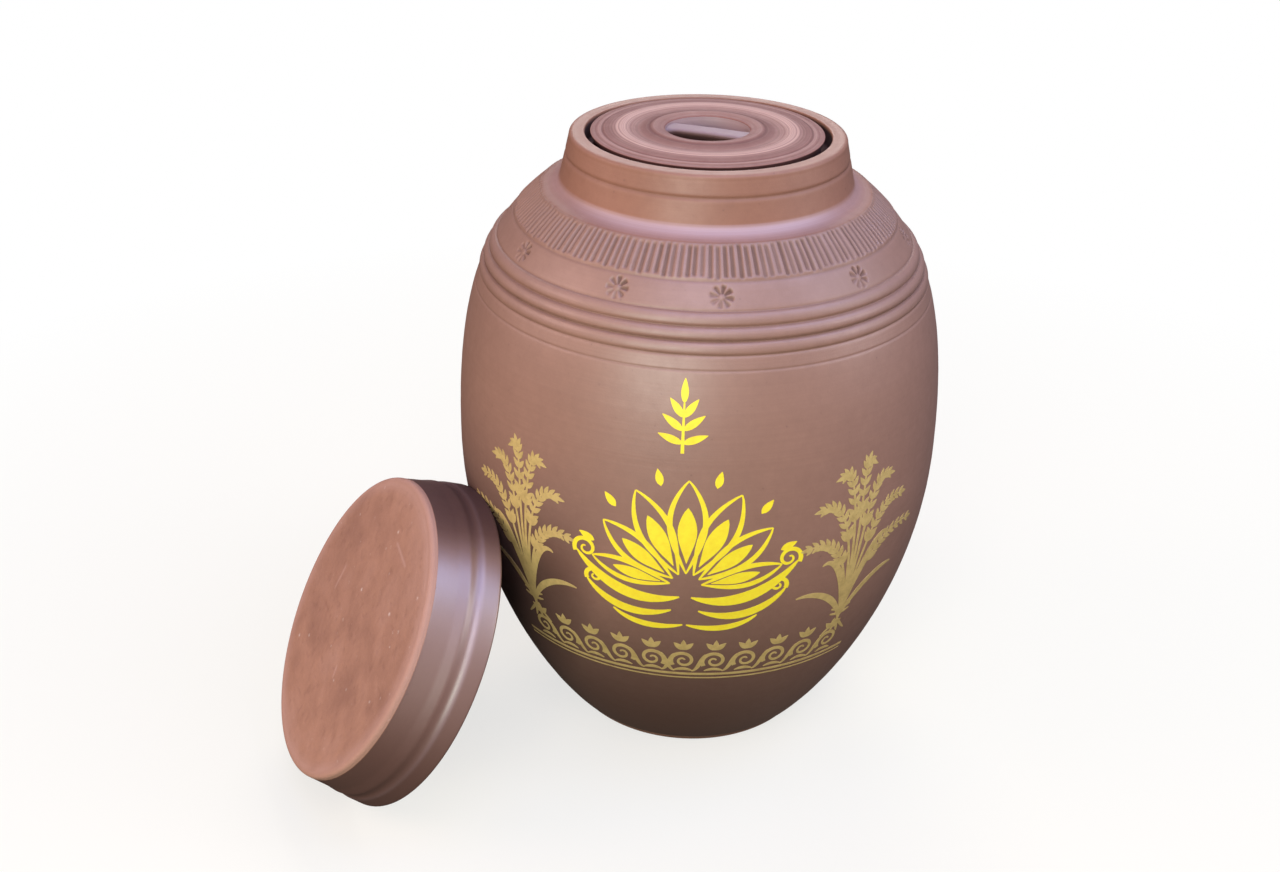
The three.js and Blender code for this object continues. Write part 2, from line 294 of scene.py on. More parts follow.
# grooveColour is what the hollow attribute mixes in: painted shade, and some dark tone; paleColour is what
# the pale attribute mixes in: painted highlights on the pot, collar, cap bead and grip, and pale slip,
# blotches and scratches on the lid and cap face
clays = {
    "burnishedClay": {
        "colour": (0.328, 0.171, 0.119, 1), "cloudColour": (0.262, 0.132, 0.090, 1),
        "fleckColour": (0.17, 0.082, 0.057, 1), "grooveColour": (0.080, 0.028, 0.013, 1),
        "paleColour": (0.44, 0.285, 0.29, 1),
        "cloud": 0.8, "fleck": 0.45, "ringTone": 0.22, "specular": 0.8,
    },
    "neckClay": {
        "colour": (0.332, 0.152, 0.096, 1), "cloudColour": (0.266, 0.119, 0.074, 1),
        "fleckColour": (0.17, 0.076, 0.050, 1), "grooveColour": (0.085, 0.036, 0.026, 1),
        "paleColour": (0.48, 0.335, 0.35, 1),
        "cloud": 0.8, "fleck": 0.45, "ringTone": 0.22, "specular": 0.45,
    },
    "capClay": {
        "colour": (0.240, 0.118, 0.085, 1), "cloudColour": (0.206, 0.100, 0.071, 1),
        "fleckColour": (0.14, 0.07, 0.05, 1), "grooveColour": (0.070, 0.031, 0.025, 1),
        "paleColour": (0.37, 0.235, 0.22, 1),
        "cloud": 0.55, "fleck": 0.35, "ringTone": 0.12, "specular": 0.3,
        "coat": {"weight": 0.9, "ior": 2.25, "roughness": 0.43},     # sheen of a rubbed wall
    },
    "lidClay": {
        "colour": (0.300, 0.134, 0.103, 1), "cloudColour": (0.212, 0.085, 0.064, 1),
        "fleckColour": (0.40, 0.26, 0.21, 1), "grooveColour": (0.055, 0.020, 0.017, 1),
        "paleColour": (0.57, 0.325, 0.245, 1),
        "cloud": 0.6, "fleck": 0.4, "rings": 0.8, "ringTone": 0.65,
        "roughness": (0.50, 0.64), "specular": 0.25, "bump": 0.16,
    },
    "gripClay": {
        "colour": (0.36, 0.235, 0.225, 1), "cloudColour": (0.28, 0.17, 0.16, 1),
        "fleckColour": (0.40, 0.26, 0.21, 1), "grooveColour": (0.085, 0.026, 0.012, 1),
        "paleColour": (0.45, 0.30, 0.29, 1),
        "cloud": 0.5, "fleck": 0.3, "rings": 0.6, "ringTone": 0.3,
        "roughness": (0.46, 0.60), "specular": 0.75, "bump": 0.16,
    },
    "faceClay": {
        "colour": (0.425, 0.207, 0.130, 1), "cloudColour": (0.31, 0.145, 0.091, 1),
        "fleckColour": (0.66, 0.50, 0.42, 1), "grooveColour": (0.195, 0.084, 0.055, 1),
        "paleColour": (0.47, 0.255, 0.19, 1),
        "cloud": 0.7, "fleck": 1.0, "fleckScale": 120, "rings": 0.25, "ringTone": 0.08,
        "roughness": (0.72, 0.88), "specular": 0.45, "bump": 0.45,
    },
    "rawClay": {
        "colour": (0.260, 0.120, 0.077, 1), "cloudColour": (0.200, 0.090, 0.058, 1),
        "fleckColour": (0.14, 0.065, 0.043, 1), "grooveColour": (0.11, 0.052, 0.036, 1),
        "paleColour": (0.36, 0.21, 0.15, 1),
        "cloud": 0.7, "fleck": 0.6, "rings": 0.35, "ringTone": 0.30,
        "roughness": (0.74, 0.88), "specular": 0.4, "bump": 0.35,
    },
}

claySockets = {
    "Colour": "colour", "Cloud Colour": "cloudColour", "Fleck Colour": "fleckColour",
    "Cloud": "cloud", "Fleck": "fleck", "Fleck Scale": "fleckScale",
}

claySurface = {
    "ior": 1.5, "toneRange": (0.35, 0.65), "ringHeight": 0.8, "bumpDistance": 0.4 * mm,
    "hollowRough": 0.5,      # added to the roughness in a hollow
    "coatGone": 0.7,         # a hollow this dark has no sheen left
}


def makeClay(name):
    values = {**plainClay, **clays[name]}
    clay, tree, shader = newMaterial(name)
    inputs = {socket: values[key] for socket, key in claySockets.items()}
    body = addNode(tree, "ShaderNodeGroup", inputs, node_tree=clayBody)
    marks = addNode(tree, "ShaderNodeGroup", {"Rings": values["rings"]}, node_tree=turningMarks)
    # hollow: painted shade in cuts, pits and gaps and towards the foot, and some dark tone; pale: painted
    # highlights, and pale slip, blotches and scratches
    hollow = addNode(tree, "ShaderNodeAttribute", attribute_name="hollow").outputs["Fac"]
    pale = addNode(tree, "ShaderNodeAttribute", attribute_name="pale").outputs["Fac"]
    ringed = calculate(tree, "MULTIPLY", marks.outputs["Tone"], values["ringTone"])
    colour = mixColour(tree, pale, body.outputs["Colour"], values["paleColour"])
    colour = mixColour(tree, ringed, colour, values["cloudColour"])
    colour = mixColour(tree, hollow, colour, values["grooveColour"])
    rough = remap(tree, body.outputs["Tone"], *claySurface["toneRange"], *values["roughness"])
    rougher = calculate(tree, "MULTIPLY", hollow, claySurface["hollowRough"])
    height = calculate(tree, "MULTIPLY", marks.outputs["Height"], claySurface["ringHeight"])
    height = calculate(tree, "ADD", body.outputs["Height"], height)
    setInputs(tree, shader, {
        "Base Color": colour, "Roughness": calculate(tree, "ADD", rough, rougher),
        "IOR": claySurface["ior"], "Specular IOR Level": values["specular"],
        "Normal": bump(tree, values["bump"], claySurface["bumpDistance"], height),
    })
    if "coat" in values:
        coat = values["coat"]
        weight = remap(tree, hollow, 0.0, claySurface["coatGone"], coat["weight"], 0.0)
        setInputs(tree, shader, {
            "Coat Weight": weight, "Coat IOR": coat["ior"], "Coat Roughness": coat["roughness"],
        })
    return clay


inks = {
    "yellowInk": {"colour": (1.0, 0.80, 0.035, 1), "worn": (0.96, 0.71, 0.03, 1), "roughness": 0.5},
    "goldInk": {"colour": (0.59, 0.415, 0.15, 1), "worn": (0.46, 0.31, 0.108, 1), "roughness": 0.5},
}

inkRub = {"noise": (240, 4, 0.7), "range": (0.42, 0.70), "bump": 0.05, "bumpDistance": 0.2 * mm}


def makeInk(name):
    values = inks[name]
    ink, tree, shader = newMaterial(name)
    place = addNode(tree, "ShaderNodeTexCoord").outputs["Object"]
    rub = noise(tree, place, *inkRub["noise"])
    colour = mixColour(tree, remap(tree, rub, *inkRub["range"]), values["colour"], values["worn"])
    setInputs(tree, shader, {
        "Base Color": colour, "Roughness": values["roughness"],
        "Normal": bump(tree, inkRub["bump"], inkRub["bumpDistance"], rub),
    })
    return ink


finish = {name: makeClay(name) for name in clays}
finish.update({name: makeInk(name) for name in inks})
print("finishes made:", ", ".join(finish))


# turning clay: outlines in millimetres become closed meshes

onAxis = 1e-6     # a ring this small is a single point
shortest = 1e-9
finer = 4         # facets of a band of fine work for each plain one
lattice = 256


def smoothStep(low, high, x):
    share = np.clip((x - low) / (high - low), 0, 1)
    return share * share * (3 - 2 * share)


def bell(x, width):
    return np.exp(-(x / width) ** 2)


def curve(points, steps):
    # Bezier curve through its end points, as an array of (radius, height)
    t = np.linspace(0, 1, steps + 1)[:, None]
    layer = [np.array(p, float) + 0 * t for p in points]
    while len(layer) > 1:
        layer = [a * (1 - t) + b * t for a, b in zip(layer, layer[1:])]
    return layer[0]


def line(start, end, steps):
    return curve([start, end], steps)


def run(*parts):
    # parts of an outline end to end, without the points that they share
    return np.concatenate([parts[0]] + [part[1:] for part in parts[1:]])


def lengthAlong(outline):
    steps = np.linalg.norm(np.diff(outline, axis=0), axis=1)
    return np.concatenate([[0], np.cumsum(steps)])


def evenOut(values, reach):
    # running mean over reach neighbours on each side
    width = 2 * reach + 1
    return np.convolve(np.pad(values, reach, mode="edge"), np.ones(width) / width, mode="valid")


def patchNoise(x, y, seed):
    # smooth random field on a unit lattice, -1 to 1
    table = np.random.RandomState(seed).uniform(-1, 1, (lattice, lattice))
    column, row = np.floor(x).astype(int), np.floor(y).astype(int)
    across, up = smoothStep(0, 1, x - column), smoothStep(0, 1, y - row)
    pick = lambda i, j: table[(column + i) % lattice, (row + j) % lattice]
    low = pick(0, 0) * (1 - across) + pick(1, 0) * across
    high = pick(0, 1) * (1 - across) + pick(1, 1) * across
    return low * (1 - up) + high * up


def unit(vectors):
    return vectors / np.maximum(np.linalg.norm(vectors, axis=1, keepdims=True), shortest)


def offOutline(outline):
    # unit normals that point out of the clay for an outline drawn up its outside
    tangent = np.gradient(outline, axis=0)
    return unit(np.stack([tangent[:, 1], -tangent[:, 0]], axis=1))


def joinRings(below, above):
    # faces between two rings of vertex numbers, either of which may be a single point or the finer one
    faces = []
    nextBelow, nextAbove = np.roll(below, -1), np.roll(above, -1)
    if len(below) == len(above):
        faces = np.stack([below, nextBelow, nextAbove, above], axis=1).tolist()
    elif len(below) == 1:
        faces = [(below[0], d, c) for c, d in zip(above, nextAbove)]
    elif len(above) == 1:
        faces = [(a, b, above[0]) for a, b in zip(below, nextBelow)]
    elif len(above) == finer * len(below):
        for j, (a, b) in enumerate(zip(below, nextBelow)):
            f = [above[(finer * j + k) % len(above)] for k in range(finer + 1)]
            faces += [(a, f[1], f[0]), (a, f[2], f[1]), (a, b, f[2]), (b, f[3], f[2]), (b, f[4], f[3])]
    else:
        for j, (c, d) in enumerate(zip(above, nextAbove)):
            f = [below[(finer * j + k) % len(below)] for k in range(finer + 1)]
            faces += [(f[0], f[1], c), (f[1], f[2], c), (f[2], d, c), (f[2], f[3], d), (f[3], f[4], d)]
    return faces


def newPiece(name, vertices, faces, materials, faceFinish=None, place=None, crease=None):
    mesh = bpy.data.meshes.new(name)
    points = [Vector(v) * mm for v in vertices]
    mesh.from_pydata([place @ p for p in points] if place else points, [], faces)
    for material in materials:
        mesh.materials.append(finish[material])
    if faceFinish is not None:
        mesh.polygons.foreach_set("material_index", np.array(faceFinish, dtype=np.int32))
    mesh.shade_smooth()
    if crease:
        mesh.set_sharp_from_angle(angle=math.radians(crease))
    mesh.update()
    piece = bpy.data.objects.new(name, mesh)
    bpy.context.scene.collection.objects.link(piece)
    return piece


def setValues(piece, key, values):
    attribute = piece.data.attributes.new(key, "FLOAT", "POINT")
    attribute.data.foreach_set("value", np.asarray(values, dtype=np.float32))


def turnPiece(name, stretches, materials, place=None):
    # each stretch is a run of the outline: its points, its facets, its finish and its relief,
    # which gives how far the clay rises, how much painted shade or dark tone it takes, and how pale it is
    outline = np.concatenate([stretch[0] for stretch in stretches])
    normals = offOutline(outline)
    arcs = lengthAlong(outline)
    vertices, rings, ringFinish = [], [], []
    values = {"arc": [], "hollow": [], "pale": []}
    first = 0
    for points, facets, look, relief in stretches:
        for radius, height in points:
            index = len(rings)
            count = 1 if radius < onAxis else facets
            angles = 2 * np.pi * np.arange(count) / count
            lift, hollow, pale = 0, 0, 0
            if relief and count > 1:
                lift, hollow, pale = relief(radius, height, angles)
            r = radius + lift * normals[index, 0]
            z = height + lift * normals[index, 1] + 0 * angles
            vertices.append(np.stack([r * np.cos(angles), r * np.sin(angles), z], axis=1))
            rings.append(np.arange(first, first + count))
            ringFinish.append(look)
            for key, value in (("arc", arcs[index]), ("hollow", hollow), ("pale", pale)):
                values[key].append(value + np.zeros(count))
            first += count
    faces, faceFinish = [], []
    for below, above, finishAbove in zip(rings, rings[1:], ringFinish[1:]):
        added = joinRings(below, above)
        faces += added
        faceFinish += [finishAbove] * len(added)
    piece = newPiece(name, np.concatenate(vertices), faces, materials, faceFinish, place)
    for key in values:
        setValues(piece, key, np.concatenate(values[key]))
    return piece


# pot

pot = {
    "height": 333, "bellyRadius": 130, "bellyHeight": 170, "wall": 9, "floor": 11, "floorCorner": 0.6,
    "footRadius": 69.5, "footBevel": 3, "footCorner": (0.8, 0.5),
    "footReach": 0.09, "lowerReach": 0.53, "upperReach": 0.735, "shoulderReach": 0.2,
    "footFlare": 49, "shoulderSlope": 42,
    "neckHeight": 22.5, "neckBaseRadius": 75.5, "neckTopRadius": 71,
    "collarDrop": 5.7, "collarWidth": 9.3, "collarHollow": 0.7,
    "combBand": 13.6, "combRise": 0.6, "combRamp": (-0.1, 0.9), "stampBand": 11.6,
    "ribPitch": 6.1, "ribRise": (1.0, 1.35, 1.3),    # from the lowest rib up
    "ribFullness": 0.75, "ribPale": 0.05, "ribPaleRange": (0.5, 1.2),
    "rimRound": 2.4, "rimWidth": 8, "rimDish": 0.15, "rimDishSpan": (0.3, 2.8), "mouthBevel": 0.8,
    "lidDepth": 10, "ledgeWidth": 8, "ledgeThickness": 8,
    "ledgeRound": 0.6, "throatRound": 0.8, "underRound": 1,
    "facets": 332, "plainTop": 250, "plainRings": (72, 34), "insideRings": 70,
    "fineStart": 250.4, "fineStep": 0.42,      # rings of the ribs and bands
}

# cuts that run right round: place, depth and width
potCuts = {
    "grooves": ((0, 0.40, 0.5), (1, 0.85, 0.6), (2, 0.55, 0.55), (3, 0.35, 0.45)),   # by rib edge
    "scoredLine": (254.5, 0.28, 0.45),
    "combFoot": (-0.35, 0.30, 0.4), "combTop": (0.1, 0.25, 0.4),      # off the edges of the comb band
    # tone and darkest set the painted shade in the cuts; neckTone sets it, with its width, for the line round
    # the neck
    "tone": 0.75, "darkest": 0.6,
    "neckLine": (11, 0.6, 0.95), "neckTone": (0.26, 0.9),             # below the rim
}

# painted highlight round the collar, strongest at the front
collarShine = {"drop": 3, "width": 2.4, "pale": 0.35, "frontPale": 0.42, "front": (-0.45, -0.9)}
# painted shade inside the mouth: how dark, and how far below the rim it starts and is full
mouthShadePaint = {"tone": 0.95, "reach": (0.5, 2.5)}

# painted shade towards the foot, and a painted shadow of the leaning cap (cloud is its strength)
potShadePaint = {
    "turn": -128, "front": 1.0, "back": 0.42, "frontReach": (-0.35, 0.9), "rise": (192, 25),
    "capShadowTurn": -148, "cloud": 0.95, "capShadowReach": (0.70, 0.94), "capShadowRise": (212, 128),
}

throwing = {
    "rings": 400, "pitch": 2.2, "depth": 0.05, "oval": 0.10, "neckOval": 0.06, "ovalTurn": 0.7, "twist": 90,
}

combTicks = {
    "count": 166, "depth": 0.75, "halfWidth": 0.25, "soft": 0.10, "inset": 1.2, "endSoft": 0.7, "tone": 0.50,
    "shift": 0.10, "uneven": 0.22, "topUneven": 0.5, "footUneven": 0.6, "darkest": 0.8,
}

flowerStamps = {
    "turns": (-148.6, -112.5, -84.8, -43.8, -8, 27, 64, 101, 139, 176),   # degrees round the shoulder
    "radius": 5.8, "petals": 8, "petalWidth": 0.95, "depth": 0.75, "uneven": 0.45, "deepSide": 50,
    "tilt": 20, "taper": (0.35, 0.85), "soft": (0.45, 0.35), "heart": (0.16, 0.34), "tip": (0.86, 1.06),
    "margin": 1, "farthest": 1.2, "tone": 0.50,
}

neckBase = pot["height"] - pot["neckHeight"]
combTop = neckBase - pot["collarDrop"]
combFoot = combTop - pot["combBand"]
ribTop = combFoot - pot["stampBand"]
ribFoot = ribTop - len(pot["ribRise"]) * pot["ribPitch"]
shoulderRadius = pot["neckBaseRadius"] + pot["collarWidth"]
mouthRadius = pot["neckTopRadius"] - pot["rimWidth"]
neckLine, neckLineDepth, neckLineWidth = potCuts["neckLine"]


def lowerWall(steps):
    rise = pot["bellyHeight"] - pot["footBevel"]
    flare = math.radians(pot["footFlare"])
    reach = rise * pot["footReach"]
    foot = (pot["footRadius"], pot["footBevel"])
    fromFoot = (foot[0] + reach * math.sin(flare), foot[1] + reach * math.cos(flare))
    belly = (pot["bellyRadius"], pot["bellyHeight"])
    toBelly = (belly[0], belly[1] - rise * pot["lowerReach"])
    return curve([foot, fromFoot, toBelly, belly], steps)


def upperWall(steps):
    rise = combTop - pot["bellyHeight"]
    slope = math.radians(pot["shoulderSlope"])
    reach = rise * pot["shoulderReach"]
    belly = (pot["bellyRadius"], pot["bellyHeight"])
    fromBelly = (belly[0], belly[1] + rise * pot["upperReach"])
    toShoulder = (shoulderRadius + reach * math.cos(slope), combTop - reach * math.sin(slope))
    return curve([belly, fromBelly, toShoulder, (shoulderRadius, combTop)], steps)


wallTable = run(lowerWall(600), upperWall(600))
wallArc = lengthAlong(wallTable)


def wallPoints(heights):
    return np.stack([np.interp(heights, wallTable[:, 1], wallTable[:, 0]), heights], axis=1)


wallCuts = [(ribFoot + edge * pot["ribPitch"], depth, width) for edge, depth, width in potCuts["grooves"]]
wallCuts.append(potCuts["scoredLine"])
for bandEdge, (off, depth, width) in ((combFoot, potCuts["combFoot"]), (combTop, potCuts["combTop"])):
    wallCuts.append((bandEdge + off, depth, width))


def wallRelief(height):
    # beads, grooves and scored lines that run right round; returns the rise and the painted shade in the cuts
    rib = (height - ribFoot) / pot["ribPitch"]
    start, end = pot["combRamp"]
    rise = smoothStep(combFoot + start, combFoot + end, height)
    rise *= smoothStep(combTop - start, combTop - end, height)
    rise *= pot["combRise"]
    if 0 <= rib < len(pot["ribRise"]):
        rise += pot["ribRise"][int(rib)] * math.sin(math.pi * (rib % 1)) ** pot["ribFullness"]
    cuts = [depth * bell(height - place, width) for place, depth, width in wallCuts]
    return rise - sum(cuts), min(potCuts["tone"] * max(cuts), potCuts["darkest"])


throwSeed = dice.uniform(-1, 1, throwing["rings"])


def throwMarks(height, angles):
    # faint rise and fall that the hands left in the wall
    ripple = np.interp(height / throwing["pitch"], np.arange(throwing["rings"]), throwSeed)
    oval = np.sin(2 * angles + throwing["ovalTurn"] + height / throwing["twist"])
    return throwing["depth"] * ripple + throwing["oval"] * oval


def paintPotShade(height, angles):
    # painted shade: the wall grows darker towards the foot, most of all at the front left, with a painted
    # shadow of the leaning cap on the wall behind it
    facing = np.cos(angles - math.radians(potShadePaint["turn"]))
    share = potShadePaint["back"] + (potShadePaint["front"] - potShadePaint["back"]) * smoothStep(*potShadePaint["frontReach"], facing)
    # cloud is the painted shadow of the leaning cap
    cloud = np.cos(angles - math.radians(potShadePaint["capShadowTurn"]))
    cloud = potShadePaint["cloud"] * smoothStep(*potShadePaint["capShadowReach"], cloud) * smoothStep(*potShadePaint["capShadowRise"], height)
    return np.maximum(share * smoothStep(*potShadePaint["rise"], height), cloud)


def beltRelief(radius, height, angles):
    rise, hollow = wallRelief(height)
    # paler rib crests: painted highlight and wear
    pale = pot["ribPale"] * smoothStep(*pot["ribPaleRange"], rise)
    return rise + throwMarks(height, angles), np.maximum(hollow, paintPotShade(height, angles)), pale


tickShift = dice.uniform(-combTicks["shift"], combTicks["shift"], combTicks["count"])
tickDepth = 1 + combTicks["uneven"] * dice.uniform(-1, 1, combTicks["count"])
tickTop = dice.uniform(-combTicks["topUneven"], combTicks["topUneven"], combTicks["count"])
tickFoot = dice.uniform(-combTicks["footUneven"], combTicks["footUneven"], combTicks["count"])


def tickCut(height, angles):
    # short strokes of a comb, pressed in side by side
    place = angles * combTicks["count"] / (2 * np.pi)
    number = np.floor(place).astype(int) % combTicks["count"]
    aside = np.abs(place - np.floor(place) - 0.5 + tickShift[number])
    half, soft, endSoft = combTicks["halfWidth"], combTicks["soft"], combTicks["endSoft"]
    stroke = 1 - smoothStep(half - soft, half + soft, aside)
    top = combTop - combTicks["inset"] + tickTop[number]
    foot = combFoot + combTicks["inset"] + tickFoot[number]
    reach = smoothStep(foot - endSoft, foot + endSoft, height)
    reach = reach * (1 - smoothStep(top - endSoft, top + endSoft, height))
    return stroke * reach * tickDepth[number]


stampTilt = dice.uniform(-flowerStamps["tilt"], flowerStamps["tilt"], len(flowerStamps["turns"]))


def stampCut(height, angles, radius):
    # flowers of narrow petals, pressed in by hand a little unevenly
    middle = (combFoot + ribTop) / 2
    up = np.interp(height, wallTable[:, 1], wallArc) - np.interp(middle, wallTable[:, 1], wallArc)
    sector = 2 * np.pi / flowerStamps["petals"]
    narrow, widen = flowerStamps["taper"]
    inner, outer = flowerStamps["soft"]
    total = np.zeros_like(angles)
    for turn, tilt in zip(flowerStamps["turns"], stampTilt):
        aside = radius * ((angles - math.radians(turn) + np.pi) % (2 * np.pi) - np.pi)
        near = np.abs(aside) < flowerStamps["radius"] + flowerStamps["margin"]
        out = np.hypot(aside, up)
        bearing = np.arctan2(up, aside)
        petalTurn = (bearing - math.radians(tilt)) / sector
        offPetal = (petalTurn - np.round(petalTurn)) * sector
        share = np.clip(out / flowerStamps["radius"], 0, flowerStamps["farthest"])
        half = flowerStamps["petalWidth"] * (narrow + widen * share)
        petal = 1 - smoothStep(half - inner, half + outer, np.abs(out * np.sin(offPetal)))
        petal *= smoothStep(*flowerStamps["heart"], share) * (1 - smoothStep(*flowerStamps["tip"], share))
        lean = 1 + flowerStamps["uneven"] * np.cos(bearing - math.radians(flowerStamps["deepSide"]))
        total = np.maximum(total, np.where(near, petal * lean, 0))
    return total


def bandRelief(radius, height, angles):
    rise, hollow, pale = beltRelief(radius, height, angles)
    tick = tickCut(height, angles)
    stamp = stampCut(height, angles, radius)
    rise = rise - combTicks["depth"] * tick - flowerStamps["depth"] * stamp
    # painted shade inside the comb strokes and the flower stamps
    hollow = hollow + combTicks["tone"] * tick + flowerStamps["tone"] * stamp
    return rise, np.clip(hollow, 0, combTicks["darkest"]), pale


def neckPoints():
    top = pot["height"]
    collarFoot = np.array([shoulderRadius, combTop])
    neckFoot = np.array([pot["neckBaseRadius"], neckBase])
    middle = (collarFoot + neckFoot) / 2
    hollow = middle + (np.array([pot["neckBaseRadius"], combTop]) - middle) * pot["collarHollow"]
    collar = curve([collarFoot, hollow, neckFoot], 14)
    rimSide = (pot["neckTopRadius"], top - pot["rimRound"])
    neck = line(neckFoot, rimSide, 48)
    neck[1:, 0] -= neckLineDepth * bell(neck[1:, 1] - (top - neckLine), neckLineWidth)
    rimEdge = (pot["neckTopRadius"] - pot["rimRound"], top)
    rim = curve([rimSide, (pot["neckTopRadius"], top), rimEdge], 8)
    flat = line(rimEdge, (mouthRadius + pot["mouthBevel"], top), 6)
    flat[1:-1, 1] -= pot["rimDish"] * np.sin(np.linspace(*pot["rimDishSpan"], len(flat) - 2))
    bevel = curve([flat[-1], (mouthRadius, top), (mouthRadius, top - pot["mouthBevel"])], 4)
    return run(collar, neck, rim, flat, bevel)[1:]


def neckRelief(radius, height, angles):
    # painted shade in the line round the neck
    tone, width = potCuts["neckTone"]
    hollow = tone * bell(height - pot["height"] + neckLine, width) * (radius > pot["neckTopRadius"])
    # painted highlight on the collar, stronger at the front
    front = smoothStep(*collarShine["front"], np.sin(angles))
    pale = (collarShine["pale"] + collarShine["frontPale"] * front) * (radius > pot["neckBaseRadius"])
    pale = pale * bell(height - neckBase + collarShine["drop"], collarShine["width"])
    return throwing["neckOval"] * np.sin(2 * angles + throwing["ovalTurn"]), hollow, pale


def mouthRelief(radius, height, angles):
    # painted shade down the wall of the mouth and over its ledge
    start, full = mouthShadePaint["reach"]
    return 0, mouthShadePaint["tone"] * smoothStep(pot["height"] - start, pot["height"] - full, height), 0


def entryPoints():
    # down the mouth, over the ledge and under it
    throat = mouthRadius - pot["ledgeWidth"]
    ledge = pot["height"] - pot["lidDepth"]
    under = ledge - pot["ledgeThickness"]
    bore = pot["neckBaseRadius"] - pot["wall"]
    inner, nose, foot = pot["ledgeRound"], pot["throatRound"], pot["underRound"]
    return run(
        line((mouthRadius, pot["height"] - pot["mouthBevel"]), (mouthRadius, ledge + inner), 5),
        curve([(mouthRadius, ledge + inner), (mouthRadius, ledge), (mouthRadius - inner, ledge)], 3),
        line((mouthRadius - inner, ledge), (throat + nose, ledge), 4),
        curve([(throat + nose, ledge), (throat, ledge), (throat, ledge - nose)], 3),
        line((throat, ledge - nose), (throat, under + foot), 3),
        curve([(throat, under + foot), (throat, under), (bore, min(neckBase, under) - foot)], 8),
    )[1:]


def insidePoints():
    floor, thick = pot["floor"], pot["wall"]
    wall = wallTable - thick * offOutline(wallTable)
    wall = wall[(wall[:, 1] < combTop - thick / 2) & (wall[:, 1] > floor + thick / 2)]
    wall = wall[::-1][:: len(wall) // pot["insideRings"]]
    corner = (wall[-1, 0] - thick * pot["floorCorner"], floor)
    floorEdge = (corner[0] - thick, floor)
    return run(wall, curve([wall[-1], corner, floorEdge], 6), line(floorEdge, (0, floor), 8))


def makePot():
    facets, step, plainTop = pot["facets"], pot["fineStep"], pot["plainTop"]
    foot, bevel = pot["footRadius"], pot["footBevel"]
    inward, up = pot["footCorner"]
    lowerRings, upperRings = pot["plainRings"]
    sole = line((0, 0), (foot - bevel, 0), 5)
    footEdge = curve([(foot - bevel, 0), (foot - inward, up), (foot, bevel)], 5)
    lower = wallPoints(np.linspace(bevel, pot["bellyHeight"], lowerRings))[1:]
    upper = wallPoints(np.linspace(pot["bellyHeight"], plainTop, upperRings))[1:]
    ribs = wallPoints(np.arange(pot["fineStart"], ribTop - step / 2, step))
    bands = wallPoints(np.arange(ribTop, combTop - step / 8, step))
    stretches = [
        (run(sole, footEdge), facets, 1, None),
        (np.concatenate([lower, upper, ribs]), facets, 0, beltRelief),
        (bands, finer * facets, 0, bandRelief),
        (neckPoints(), facets, 2, neckRelief),
        (entryPoints(), facets, 2, mouthRelief),
        (insidePoints(), facets, 1, None),
    ]
    piece = turnPiece("jarPot", stretches, ["burnishedClay", "rawClay", "neckClay"])
    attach(piece, "jar")
    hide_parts("jar_body")


makePot()
print("pot turned")


# plug lid

lid = {
    "clearance": 3.3, "seatGap": 0.3, "shift": 0.4,
    # edgeShade is the painted shade on the lid's edge wall, in the gap inside the mouth
    "edgeRound": 0.6, "undercut": 1.8, "edgeWall": 6, "edgeRise": 0.3, "edgeShade": 0.95,
    "outerRing": 15.7, "crestRise": 2.1, "dishRise": 0.9,
    "lipRingRise": 2.8, "lipRise": 1.8, "lipWidth": 5.5, "lipFlat": 1, "lipRound": 1.2,
    "plugClearance": 1.6, "plugDepth": 12, "plugRing": 8, "underRound": 1, "bossCorner": (2, 1),
    "gripRadius": 21.7, "gripDepth": 20, "floorRadius": 11, "gripFullness": 0.95, "gripWall": 6,
    "facets": 256, "topStep": 0.4, "topEven": 3, "turning": 0.05,
}

# rings on the lid's top: radius, strength or depth, and width
lidRings = {
    "scored": ((57.2, 0.18, 0.5), (53.6, 0.30, 0.5), (48.8, 0.15, 0.5), (39.0, 0.2, 0.5), (29.6, 0.25, 0.8)),
    # scoredTone sets the painted shade in the scored lines
    "scoredTone": 0.9,
    "pale": ((44.0, 1.0, 3.5), (55.2, 0.35, 0.8), (40.0, 0.25, 2.5), (27.0, 0.20, 1.2)),
    "dark": ((50.6, 0.16, 2.2), (31.0, 0.22, 2.6)),
}

# painted shade in the grip's bowl, and painted light (pale) on its far wall
gripShade = {"near": (0.35, -0.35), "below": 3, "above": 4, "tone": 0.55, "nearTone": 0.37, "pale": 0.3}

lidBar = {
    "width": 11, "foot": 0.5, "thickness": 6, "sink": 1.4, "root": 2.5, "turn": -18, "shift": 2.5,
    "flare": 2.6, "flareStart": 0.62, "flareDepth": 0.7,
    "crown": 0.4, "fullness": 0.45, "undercut": (-1.0, 0.5),
    # sideShade paints shade over the bar's sides and underside; pale paints a highlight along its top
    "tone": 0.22, "sideShade": 0.58, "sideShadeRange": (0.93, 0.1), "pale": 0.3, "paleRange": (0.4, 0.9),
    "stations": 37, "sides": 32,
}

lidRadius = mouthRadius - lid["clearance"]
lidFoot = pot["height"] - pot["lidDepth"] + lid["seatGap"]
lidUndercut = lidRadius - lid["undercut"]
lipHeight = pot["height"] + lid["lipRise"]
gripFloor = lipHeight - lid["gripDepth"]
bowlEdge = (lid["gripRadius"], lipHeight - lid["edgeRound"])
lidPlace = Matrix.Translation((-lid["shift"] * mm, 0, 0))


